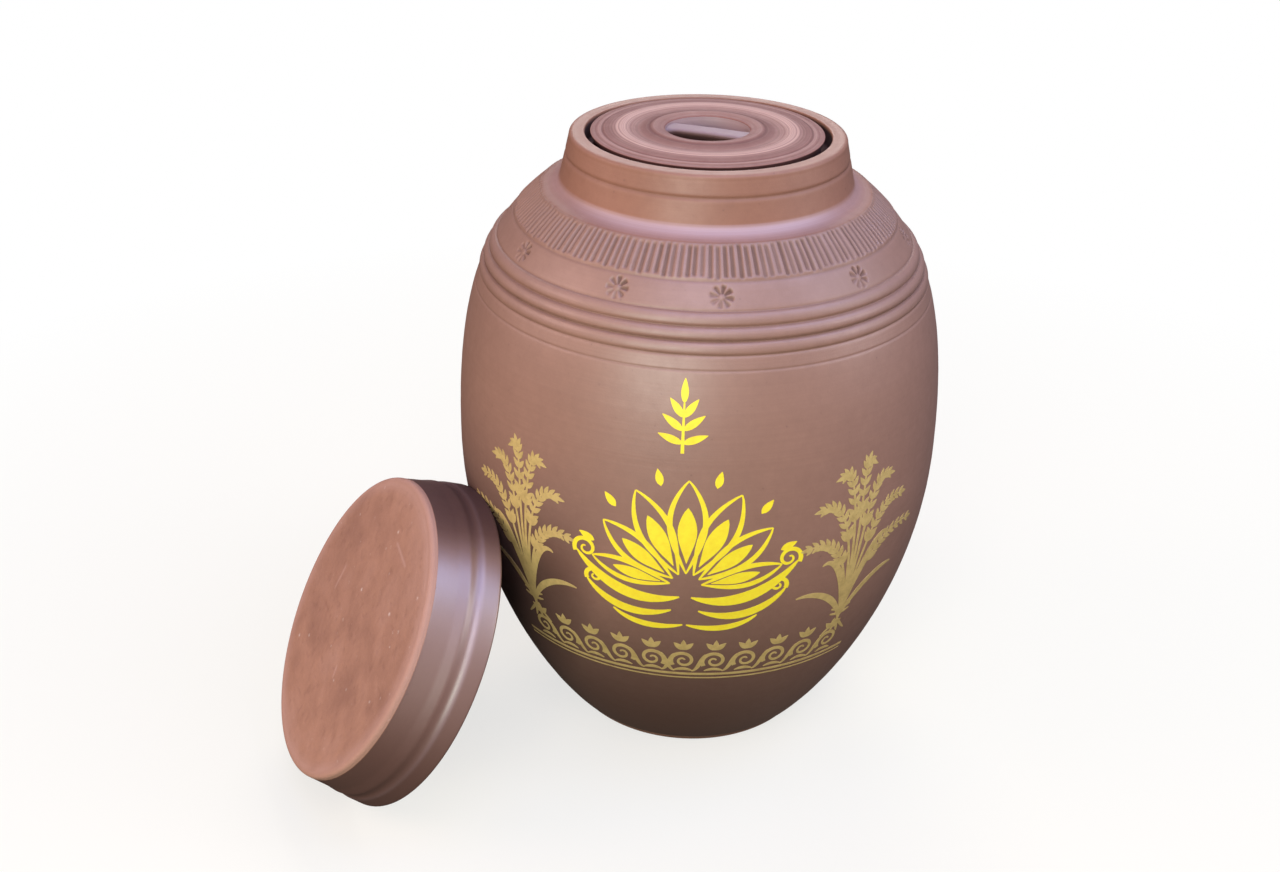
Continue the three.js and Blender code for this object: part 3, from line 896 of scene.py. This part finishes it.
def lidUnder():
    boss = lid["gripRadius"] + lid["gripWall"]
    bossFoot = gripFloor - lid["gripWall"]
    plug = mouthRadius - pot["ledgeWidth"] - lid["plugClearance"]
    bore = plug - lid["plugRing"]
    plugFoot = lidFoot - lid["plugDepth"]
    bend = lid["underRound"]
    inward, up = lid["bossCorner"]
    return run(
        line((0, bossFoot), (lid["floorRadius"], bossFoot), 4),
        curve([(lid["floorRadius"], bossFoot), (boss - inward, bossFoot + up), (boss, lidFoot - bend)], 10),
        curve([(boss, lidFoot - bend), (boss, lidFoot), (boss + bend, lidFoot)], 3),
        line((boss + bend, lidFoot), (bore - bend, lidFoot), 6),
        curve([(bore - bend, lidFoot), (bore, lidFoot), (bore, lidFoot - bend)], 3),
        line((bore, lidFoot - bend), (bore, plugFoot + bend), 4),
        curve([(bore, plugFoot + bend), (bore, plugFoot), (bore + bend, plugFoot)], 3),
        line((bore + bend, plugFoot), (plug - bend, plugFoot), 3),
        curve([(plug - bend, plugFoot), (plug, plugFoot), (plug, plugFoot + bend)], 3),
        line((plug, plugFoot + bend), (plug, lidFoot), 4),
        line((plug, lidFoot), (lidUndercut, lidFoot), 3),
    )


def lidTop():
    height, grip = pot["height"], lid["gripRadius"]
    edgeHeight = height + lid["edgeRise"]
    inner = lidRadius - lid["edgeRound"]
    crest = lidRadius - lid["outerRing"]
    ring = grip + lid["lipWidth"]
    wall = line((lidUndercut, lidFoot), (lidUndercut, lidFoot + lid["edgeWall"]), 4)[1:]
    corner = (lidRadius, edgeHeight)
    edge = curve([(lidRadius, edgeHeight - lid["edgeRound"]), corner, (inner, edgeHeight)], 6)
    radii = np.arange(inner - lid["topStep"], grip + lid["lipRound"], -lid["topStep"])
    steps = np.array([
        (grip + lid["lipFlat"], lipHeight), (ring, height + lid["lipRingRise"]),
        ((crest + ring) / 2, height + lid["dishRise"]), (crest, height + lid["crestRise"]),
        (inner, edgeHeight),
    ])
    level = evenOut(np.interp(radii, steps[:, 0], steps[:, 1]), lid["topEven"])
    level -= ringTone(radii, lidRings["scored"])
    level += lid["turning"] * dice.uniform(-1, 1, len(radii))
    lipRound = curve([(radii[-1], level[-1]), (grip, lipHeight), bowlEdge], 6)[1:]
    return np.concatenate([wall, edge, np.stack([radii, level], axis=1), lipRound])


def lidBowl():
    floorEdge = (lid["floorRadius"], gripFloor)
    corner = (lid["gripRadius"] * lid["gripFullness"], gripFloor)
    return run(curve([bowlEdge, corner, floorEdge], 18), line(floorEdge, (0, gripFloor), 5))[1:]


def ringTone(radius, rings):
    return sum(strength * bell(radius - place, width) for place, strength, width in rings)


def lidRelief(radius, height, angles):
    # rings of pale slip, dark bands and painted shade in the scored lines, over painted shade on the lid's
    # edge wall
    if height < pot["height"] and radius > lidRadius - lid["outerRing"]:
        return 0, lid["edgeShade"], 0
    hollow = lidRings["scoredTone"] * ringTone(radius, lidRings["scored"])
    return 0, hollow + ringTone(radius, lidRings["dark"]), ringTone(radius, lidRings["pale"])


def bowlRelief(radius, height, angles):
    # painted shade towards the floor, most of all under the near side, and painted light on the far wall
    near = smoothStep(*gripShade["near"], np.sin(angles))
    deep = smoothStep(lipHeight - gripShade["below"], gripFloor + gripShade["above"], height)
    return 0, deep * (gripShade["tone"] + gripShade["nearTone"] * near), gripShade["pale"] * (1 - near)


def makeLid():
    facets = lid["facets"]
    stretches = [
        (lidUnder(), facets, 1, None),
        (lidTop(), facets, 0, lidRelief),
        (lidBowl(), facets, 2, bowlRelief),
    ]
    piece = turnPiece("plugLid", stretches, ["lidClay", "rawClay", "gripClay"], lidPlace)
    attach(piece, "plug_lid")
    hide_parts("inner_lid")


def makeLidBar():
    # a strip of clay bedded into the bowl at both ends, where it spreads out
    half = lid["gripRadius"] + lidBar["root"]
    stations = np.linspace(-half, half, lidBar["stations"])
    around = np.linspace(0, 2 * np.pi, lidBar["sides"], endpoint=False)
    top = lipHeight - lidBar["sink"]
    rounded = lambda wave: np.sign(wave) * np.abs(wave) ** lidBar["fullness"]
    level = rounded(np.sin(around))
    under = lidBar["foot"] + (1 - lidBar["foot"]) * smoothStep(*lidBar["undercut"], level)
    vertices = []
    for along in stations:
        flare = lidBar["flare"] * smoothStep(lidBar["flareStart"], 1.0, abs(along) / half)
        wide = lidBar["width"] / 2 + flare
        deep = lidBar["thickness"] / 2 + lidBar["flareDepth"] * flare
        crown = lidBar["crown"] * math.cos(along / half * math.pi / 2)
        across = lidBar["shift"] + wide * under * rounded(np.cos(around))
        upward = top - lidBar["crown"] + crown - deep + deep * level
        vertices += [(along, a, u) for a, u in zip(across, upward)]
    count = len(around)
    rings = [np.arange(k * count, (k + 1) * count) for k in range(len(stations))]
    faces = [face for below, above in zip(rings, rings[1:]) for face in joinRings(below, above)]
    faces += [tuple(rings[0][::-1]), tuple(rings[-1])]
    turn = lidPlace @ Matrix.Rotation(math.radians(lidBar["turn"]), 4, "Z")
    piece = newPiece("plugLidBar", vertices, faces, ["gripClay"], place=turn)
    # painted shade over the bar's sides and underside, and a painted highlight along its top
    hollow = lidBar["tone"] + lidBar["sideShade"] * smoothStep(*lidBar["sideShadeRange"], level)
    pale = lidBar["pale"] * smoothStep(*lidBar["paleRange"], level)
    setValues(piece, "hollow", np.tile(hollow, len(stations)))
    setValues(piece, "pale", np.tile(pale, len(stations)))
    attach(piece, "plug_lid")


makeLid()
makeLidBar()
print("plug lid turned and its bar set")


# cover cap

cap = {
    "height": 36.5, "top": 7, "wall": 7.6, "clearance": 2, "draft": 4.2, "faceRound": 3, "lipWidth": 2.9,
    "beadHeight": 10, "beadWidth": 5, "beadRise": 1.4, "lineDepth": 0.12, "lineWidth": 4, "lipRound": 1.5,
    "waist": (22, 0.42),              # height, and the share of the draft that is done there
    "facing": -156, "tilt": 30,       # degrees round the jar and above level that the face looks
    "facets": 300, "sideStep": 0.4, "sideEven": 2, "faceRings": 84, "faceMiddle": 1.0,
}

# strength and width, or strength and the downhill share where painted shade starts and is full
capMarks = {
    # line: painted shade in the fine line; bead: painted highlight along the bead
    "line": (0.10, 1.3), "bead": (0.60, 1.1),
    "shadeAbove": (0.80, -0.80, -0.99), "shadeBelow": (0.74, -0.6, 0.5),
    "oval": 0.08, "ovalTwist": 6, "margin": 0.5,
}

# fields of noise on the face: strength, size, shift and seed
capFields = {
    "lumps": ((1.0, 9, 40, 3), (0.7, 3.6, 60, 4)),
    "pits": ((1.0, 3.1, 70, 6),),
    "blotches": ((1.0, 24, 20, 8), (0.6, 10, 30, 9)),
}

capSand = {
    "lumpRise": 0.16, "pitStart": 0.5, "pitDepth": 0.4, "pitTone": 0.5,
    "darkBlotch": 0.35, "paleBlotch": 0.30, "smoothEdge": 6, "paleEdge": 8, "edgePale": 0.65,
    "scratches": ((-12, -40, 1, -39), (-52, 2, -50, 22), (22, 8, 27, 10)), "scratchWidth": 0.8,
}

capBore = max(pot["neckBaseRadius"], pot["neckTopRadius"]) + cap["clearance"]
capWall = capBore + cap["wall"]
capLip = capWall + cap["lipWidth"]
capFace = capWall - cap["draft"]
capFlat = capFace - cap["faceRound"]
capLine = cap["beadHeight"] + cap["beadWidth"] / 2 + cap["lineWidth"] / 2


def capHollow():
    ceiling = cap["height"] - cap["top"]
    corner, lip = cap["faceRound"], cap["lipRound"]
    return run(
        line((0, ceiling), (capBore - corner, ceiling), 12),
        curve([(capBore - corner, ceiling), (capBore, ceiling), (capBore, ceiling - corner)], 5),
        line((capBore, ceiling - corner), (capBore, lip), 8),
        curve([(capBore, lip), (capBore, 0), (capBore + lip / 2, 0)], 4),
    )


def capSide():
    lip, edge = cap["lipRound"], cap["height"] - cap["faceRound"]
    heights = np.arange(lip + cap["sideStep"], edge, cap["sideStep"])
    beadTop = cap["beadHeight"] + cap["beadWidth"] / 2
    waist, drawn = cap["waist"]
    steps = np.array([
        (lip, capLip), (cap["beadHeight"], capWall + cap["beadRise"]), (beadTop, capWall),
        (capLine, capWall - cap["lineDepth"]), (beadTop + cap["lineWidth"], capWall),
        (waist, capWall - drawn * cap["draft"]), (edge, capFace),
    ])
    radii = evenOut(np.interp(heights, steps[:, 0], steps[:, 1]), cap["sideEven"])
    foot = run(
        line((capBore + lip / 2, 0), (capLip - lip, 0), 5),
        curve([(capLip - lip, 0), (capLip, 0), (capLip, lip)], 5),
    )
    return np.concatenate([foot[1:], np.stack([radii, heights], axis=1)])


def capEdge():
    top = cap["height"]
    return curve([(capFace, top - cap["faceRound"]), (capFace, top), (capFlat, top)], 9)


def sideRelief(radius, height, angles):
    # painted highlight along the bead and painted shade in the fine line; painted shade at the top of the
    # wall, next to the jar, and towards the bottom
    outside = radius > capFace - capMarks["margin"]
    lineTone, lineWidth = capMarks["line"]
    beadPale, beadWidth = capMarks["bead"]
    shaded = 0
    # painted shade at the top of the wall, next to the jar, and towards the bottom
    for strength, start, full in (capMarks["shadeAbove"], capMarks["shadeBelow"]):
        shaded = shaded + strength * smoothStep(start, full, np.cos(angles))
    hollow = np.maximum(lineTone * bell(height - capLine, lineWidth), shaded) * outside
    pale = beadPale * bell(height - cap["beadHeight"], beadWidth) * outside
    return capMarks["oval"] * np.sin(3 * angles + height / capMarks["ovalTwist"]), hollow, pale


def edgeRelief(radius, height, angles):
    # paler where the face turns over into the wall
    return 0, 0, capSand["edgePale"]


def faceRelief(radius, height, angles):
    # sandy face: lumps of two sizes, blotches of tone, pits, and a few scratches
    x, y = radius * np.cos(angles), radius * np.sin(angles)
    field = {}
    for name, layers in capFields.items():
        field[name] = sum(strength * patchNoise(x / size + shift, y / size + shift, seed)
                          for strength, size, shift, seed in layers)
    edge = smoothStep(capFlat, capFlat - capSand["smoothEdge"], radius)
    pits = np.clip(-field["pits"] - capSand["pitStart"], 0, 1) * edge
    # paler towards the rim of the face
    worn = capSand["edgePale"] * smoothStep(capFlat - capSand["paleEdge"], capFlat, radius)
    pale = worn + capSand["paleBlotch"] * np.clip(field["blotches"], 0, 1)
    # painted shade in the pits; the dark blotches are tone
    hollow = capSand["pitTone"] * pits + capSand["darkBlotch"] * np.clip(-field["blotches"], 0, 1)
    for startX, startY, endX, endY in capSand["scratches"]:
        way = np.array([endX - startX, endY - startY])
        share = np.clip(((x - startX) * way[0] + (y - startY) * way[1]) / (way @ way), 0, 1)
        off = np.hypot(x - startX - share * way[0], y - startY - share * way[1])
        pale = np.maximum(pale, bell(off, capSand["scratchWidth"]))
    return capSand["lumpRise"] * field["lumps"] * edge - capSand["pitDepth"] * pits, hollow, pale


def makeCap():
    top, facets = cap["height"], cap["facets"]
    facePoints = run(line((capFlat, top), (cap["faceMiddle"], top), cap["faceRings"]),
                     line((cap["faceMiddle"], top), (0, top), 1))[1:]
    stretches = [
        (capHollow(), facets, 1, None),
        (capSide(), facets, 0, sideRelief),
        (capEdge(), facets, 2, edgeRelief),
        (facePoints, facets, 2, faceRelief),
    ]
    facing, tilt = math.radians(cap["facing"]), math.radians(cap["tilt"])
    outward = Vector((math.cos(facing), math.sin(facing), 0))
    upward = Vector((0, 0, 1))
    axis = outward * math.cos(tilt) + upward * math.sin(tilt)
    downhill = outward * math.sin(tilt) - upward * math.cos(tilt)
    turn = Matrix((downhill, axis.cross(downhill), axis)).transposed().to_4x4()
    piece = turnPiece("coverCap", stretches, ["capClay", "rawClay", "faceClay"], turn)
    corners = np.array([v.co for v in piece.data.vertices])
    lowest, highest = (np.array(corner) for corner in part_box("outer_cap"))
    middle = (corners.min(axis=0) + corners.max(axis=0)) / 2
    move = (lowest + highest) / 2 - middle
    move[2] = lowest[2] - corners[:, 2].min()       # stands on the floor
    piece.data.transform(Matrix.Translation(move))
    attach(piece, "cover_cap")
    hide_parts("outer_cap")


makeCap()
print("cover cap turned and leaned")


# printed decoration: brush strokes in a flat design, wrapped on to the belly

layout = {
    "middle": -91,      # degrees round the jar
    "height": 165,      # of the design's middle
    "lift": 0.12, "sink": 0.12,
    "column": 2.4,      # widest facet across a stroke
    "crease": 25,
}

brush = {"fullness": 0.8, "leafTip": 0.25, "leafPeak": 0.8, "leafFullness": 0.9, "curl": 0.86}

wallNormal = offOutline(wallTable)
middleArc = np.interp(layout["height"], wallTable[:, 1], wallArc)


def onWall(flat, off):
    # flat is millimetres to the right and up from the design's middle
    arc = middleArc + flat[:, 1]
    look = lambda table: np.interp(arc, wallArc, table)
    angles = math.radians(layout["middle"]) + flat[:, 0] / pot["bellyRadius"]
    height = look(wallTable[:, 1])
    rise = off + throwMarks(height, angles)
    radius = look(wallTable[:, 0]) + rise * look(wallNormal[:, 0])
    height = height + rise * look(wallNormal[:, 1])
    return np.stack([radius * np.cos(angles), radius * np.sin(angles), height], axis=1)


def strokeMesh(path, widths):
    # closed flake of ink along a path, with its width at each point
    tangent = unit(np.gradient(path, axis=0))
    aside = np.stack([-tangent[:, 1], tangent[:, 0]], axis=1)
    columns = 2 + int(np.max(widths) / layout["column"])
    spread = widths[:, None] * np.linspace(-0.5, 0.5, columns)
    flat = (path[:, None, :] + aside[:, None, :] * spread[:, :, None]).reshape(-1, 2)
    count, rows = len(flat), len(path)
    top = np.arange(count).reshape(rows, columns)
    foot = top + count
    faces = []
    for i in range(rows - 1):
        for j in range(columns - 1):
            corners = (i, j), (i + 1, j), (i + 1, j + 1), (i, j + 1)
            faces.append([top[c] for c in corners])
            faces.append([foot[c] for c in reversed(corners)])
        faces.append([top[i, 0], foot[i, 0], foot[i + 1, 0], top[i + 1, 0]])
        faces.append([top[i + 1, -1], foot[i + 1, -1], foot[i, -1], top[i, -1]])
    for j in range(columns - 1):
        faces.append([top[0, j], top[0, j + 1], foot[0, j + 1], foot[0, j]])
        faces.append([top[-1, j + 1], top[-1, j], foot[-1, j], foot[-1, j + 1]])
    return np.concatenate([onWall(flat, layout["lift"]), onWall(flat, -layout["sink"])]), faces


def heading(bearing):
    # unit step for a bearing in degrees right of upright
    return np.array([math.sin(math.radians(bearing)), math.cos(math.radians(bearing))])


def swell(count, thin, thick, peak=0.5):
    # width of a brush stroke that starts thin, swells and ends thin
    t = np.linspace(0, 1, count)
    bent = np.where(t < peak, t / peak / 2, 0.5 + (t - peak) / (1 - peak) / 2)
    return thin + (thick - thin) * np.sin(np.pi * bent) ** brush["fullness"]


def bowed(points, thin, thick, steps=22, peak=0.5):
    path = curve(points, steps)
    return path, swell(len(path), thin, thick, peak)


def leaf(start, bearing, length, width, steps=6):
    # small pointed blade
    t = np.linspace(0, 1, steps + 1)
    path = np.array(start) + heading(bearing) * (t * length)[:, None]
    return path, brush["leafTip"] + width * np.sin(np.pi * t ** brush["leafPeak"]) ** brush["leafFullness"]


def spiral(middle, outer, turns, start, side, steps=40):
    # curls inwards from its outer end; side is 1 or -1
    t = np.linspace(0, 1, steps)
    angle = math.radians(start) + side * 2 * np.pi * turns * t
    reach = outer * (1 - brush["curl"] * t)
    return np.array(middle) + np.stack([np.cos(angle), np.sin(angle)], axis=1) * reach[:, None]


def bothSides(strokes):
    return strokes + [(path * np.array([-1, 1]), widths) for path, widths in strokes]


lotus = {
    "foot": (0, -24), "start": 8,
    "petals": ((0, 52, 17.5), (27, 49, 16), (54, 44, 14), (80, 41, 11)),      # off upright, length, width
    "steps": 26, "peak": 1.2, "fullness": 0.85, "droop": 0.0016,
    "outline": (0.7, 2.8, 0.55),             # thin, thick and where it is thickest
    "heartRun": (3, 19), "heart": 0.56, "heartTip": 0.3, "heartFullness": 0.7,
    "sparks": ((13.5, 58), (40.5, 55), (67, 51)), "spark": (9, 3.8),         # off upright, and how far out
}


def lotusStrokes():
    strokes = []
    foot, steps = np.array(lotus["foot"]), lotus["steps"]
    heart = slice(*lotus["heartRun"])
    t = np.linspace(0, 1, steps)
    taper = np.sin(np.pi * np.linspace(0, 1, len(t[heart]))) ** lotus["heartFullness"]
    for bearing, length, width in lotus["petals"]:
        for side in ((1, -1) if bearing else (1,)):
            aside = heading(bearing * side + 90)
            axis = foot + heading(bearing * side) * (lotus["start"] + length * t)[:, None]
            axis[:, 1] += lotus["droop"] * length * length * math.sin(math.radians(bearing)) * t ** 2
            half = width / 2 * np.sin(np.pi * t ** lotus["peak"]) ** lotus["fullness"]
            for edge in (1, -1):
                strokes.append((axis + aside * (edge * half)[:, None], swell(steps, *lotus["outline"])))
            strokes.append((axis[heart], lotus["heartTip"] + lotus["heart"] * 2 * half[heart] * taper))
    for bearing, away in lotus["sparks"]:
        for side in (1, -1):
            start = foot + away * heading(bearing * side)
            strokes.append(leaf(start, bearing * side, *lotus["spark"]))
    return strokes


water = {
    "swells": (
        ((3, -31), (24, -38), (43, -29), (57, -12)),
        ((7, -40), (25, -48), (43, -41), (52, -28)),
        ((1, -50), (15, -54), (29, -52), (38, -44)),
    ),
    "thin": 0.8, "thick": (6.6, 5.0, 3.8), "peak": 0.45,
    "curls": ((52, -9.7, 6.6, 1.35), (47.5, -25.7, 5.0, 1.25)),       # middle, radius and turns
    "curlStart": -30, "curlWidth": (2.6, 0.8),
}


def waterStrokes():
    strokes = []
    for points, thick in zip(water["swells"], water["thick"]):
        strokes.append(bowed(points, water["thin"], thick, peak=water["peak"]))
    for x, y, radius, turns in water["curls"]:
        curl = spiral((x, y), radius, turns, water["curlStart"], 1)
        strokes.append((curl, np.linspace(*water["curlWidth"], len(curl))))
    return bothSides(strokes)


sprig = {
    "foot": (-4, 50), "rise": 25, "stem": (1.8, 0.9), "width": 3.6,
    # up the stem, off upright, and length
    "leaves": ((5, 70, 13), (11.5, 54, 13), (18, 38, 11.5), (25, 0, 12)),
}


def sprigStrokes():
    strokes = []
    x, y = sprig["foot"]
    stem = line((x, y), (x, y + sprig["rise"]), 12)
    strokes.append((stem, np.linspace(*sprig["stem"], len(stem))))
    for up, bearing, length in sprig["leaves"]:
        for side in ((1, -1) if bearing else (1,)):
            strokes.append(leaf((x, y + up), side * bearing, length, sprig["width"], 10))
    return strokes


# a plant's bends are shares of its reach to the side and of its rise
sheaf = {
    "foot": (92, -62),
    "ears": ((-22, 61), (-17, 82), (-8, 98), (4, 102), (15, 90), (25, 74), (34, 54)),    # reach, and rise
    "earBends": ((0.1, 0.45), (0.35, 0.98)), "earNod": (0.25, -6), "stem": (2.0, 0.9), "steps": 30,
    "grain": (7.0, 2.7), "grains": 9, "spread": 38, "dwindle": 0.35, "tipWidth": 0.8,
    "blades": ((-33, 24), (-20, 42), (26, 48), (36, 24)),
    "bladeBends": ((0.15, 0.7), (0.6, 1.15)), "blade": (0.7, 4.0, 24, 0.45),
    "ties": (4, 7.5), "tie": ((-7, 1), (0, -1.5), (7, 1)), "tieWidth": (0.8, 2.0, 8),
    "roots": (-9, -3, 3, 9), "rootBend": (0.4, -6), "rootDrop": -11, "rootWidth": (0.7, 1.8, 8),
}


def earStrokes(foot, reach, rise):
    nod, drop = sheaf["earNod"]
    bends = [foot + (across * reach, up * rise) for across, up in sheaf["earBends"]]
    last = sheaf["steps"]
    stem = curve([foot, *bends, foot + (reach + nod * reach, rise + drop)], last)
    strokes = [(stem, np.linspace(*sheaf["stem"], len(stem)))]
    length, width = sheaf["grain"]
    for k in range(sheaf["grains"]):
        index = last // 2 + int(k * last / 2 / (sheaf["grains"] - 1))
        step = stem[min(index + 1, last)] - stem[min(index, last - 1)]
        bearing = math.degrees(math.atan2(step[0], step[1]))
        size = 1 - sheaf["dwindle"] * k / sheaf["grains"]
        for lean in (sheaf["spread"], -sheaf["spread"]):
            strokes.append(leaf(stem[index], bearing + lean, length * size, width * size))
    strokes.append(leaf(stem[-1], bearing, length, width * sheaf["tipWidth"]))
    return strokes


def sheafStrokes():
    strokes = []
    foot = np.array(sheaf["foot"])
    for reach, rise in sheaf["ears"]:
        strokes += earStrokes(foot, reach, rise)
    for reach, rise in sheaf["blades"]:
        bends = [foot + (across * reach, up * rise) for across, up in sheaf["bladeBends"]]
        strokes.append(bowed([foot, *bends, foot + (reach, rise)], *sheaf["blade"]))
    for up in sheaf["ties"]:
        strokes.append(bowed([foot + (x, up + y) for x, y in sheaf["tie"]], *sheaf["tieWidth"]))
    for reach in sheaf["roots"]:
        across, drop = sheaf["rootBend"]
        bend = foot + (across * reach, drop)
        strokes.append(bowed([foot, bend, foot + (reach, sheaf["rootDrop"])], *sheaf["rootWidth"]))
    return bothSides(strokes)


frieze = {
    "pitch": 18, "count": 5, "level": -78, "roll": 7.4, "turns": 1.5, "start": 215, "thick": (2.6, 1.0),
    "crestFoot": ((-13, -1.6), (-9, -0.6)), "crestTop": ((-8, 1), (-5.4, 5.4)), "crest": (0.6, 2.6, 14, 0.6),
    "trough": ((-5.5, -1.2), (0, 1.8), (5.5, -1.2)), "troughWidth": (0.6, 2.2, 8),
    "lines": ((-89.5, 1.8), (-93.0, 1.0)), "reach": 108, "lineSteps": 120,      # level and width
    "sprout": (7.5, 3.2), "sprouts": (-46, 0, 46), "sproutGap": 1.6,
}


def friezeStrokes():
    # rolling waves, each with a sprout of three leaves, over two lines
    strokes = []
    level, roll = frieze["level"], frieze["roll"]
    foot = level - roll
    for k in range(-frieze["count"], frieze["count"] + 1):
        x = k * frieze["pitch"]
        side = 1 if k >= 0 else -1
        start = frieze["start"] if side > 0 else 180 - frieze["start"]
        curl = spiral((x, level), roll, frieze["turns"], start, -side)
        strokes.append((curl, np.linspace(*frieze["thick"], len(curl))))
        crest = [(x + side * across, foot + up) for across, up in frieze["crestFoot"]]
        crest += [(x + side * across, level + up) for across, up in frieze["crestTop"]]
        strokes.append(bowed(crest, *frieze["crest"]))
        trough = [(x + across, foot + up) for across, up in frieze["trough"]]
        strokes.append(bowed(trough, *frieze["troughWidth"]))
        for bearing in frieze["sprouts"]:
            strokes.append(leaf((x, level + roll + frieze["sproutGap"]), bearing, *frieze["sprout"]))
    for height, width in frieze["lines"]:
        across = np.linspace(-frieze["reach"], frieze["reach"], frieze["lineSteps"])
        strokes.append((np.stack([across, height + 0 * across], axis=1), np.full(len(across), width)))
    return strokes


def makePrint(name, strokes, material):
    vertices, faces, first = [], [], 0
    for path, widths in strokes:
        points, sides = strokeMesh(path, widths)
        faces += [[first + int(corner) for corner in side] for side in sides]
        vertices.append(points)
        first += len(points)
    piece = newPiece(name, np.concatenate(vertices), faces, [material], crease=layout["crease"])
    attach(piece, "jar")


makePrint("yellowPrint", lotusStrokes() + waterStrokes() + sprigStrokes(), "yellowInk")
makePrint("goldPrint", sheafStrokes() + friezeStrokes(), "goldInk")
print("decoration printed")
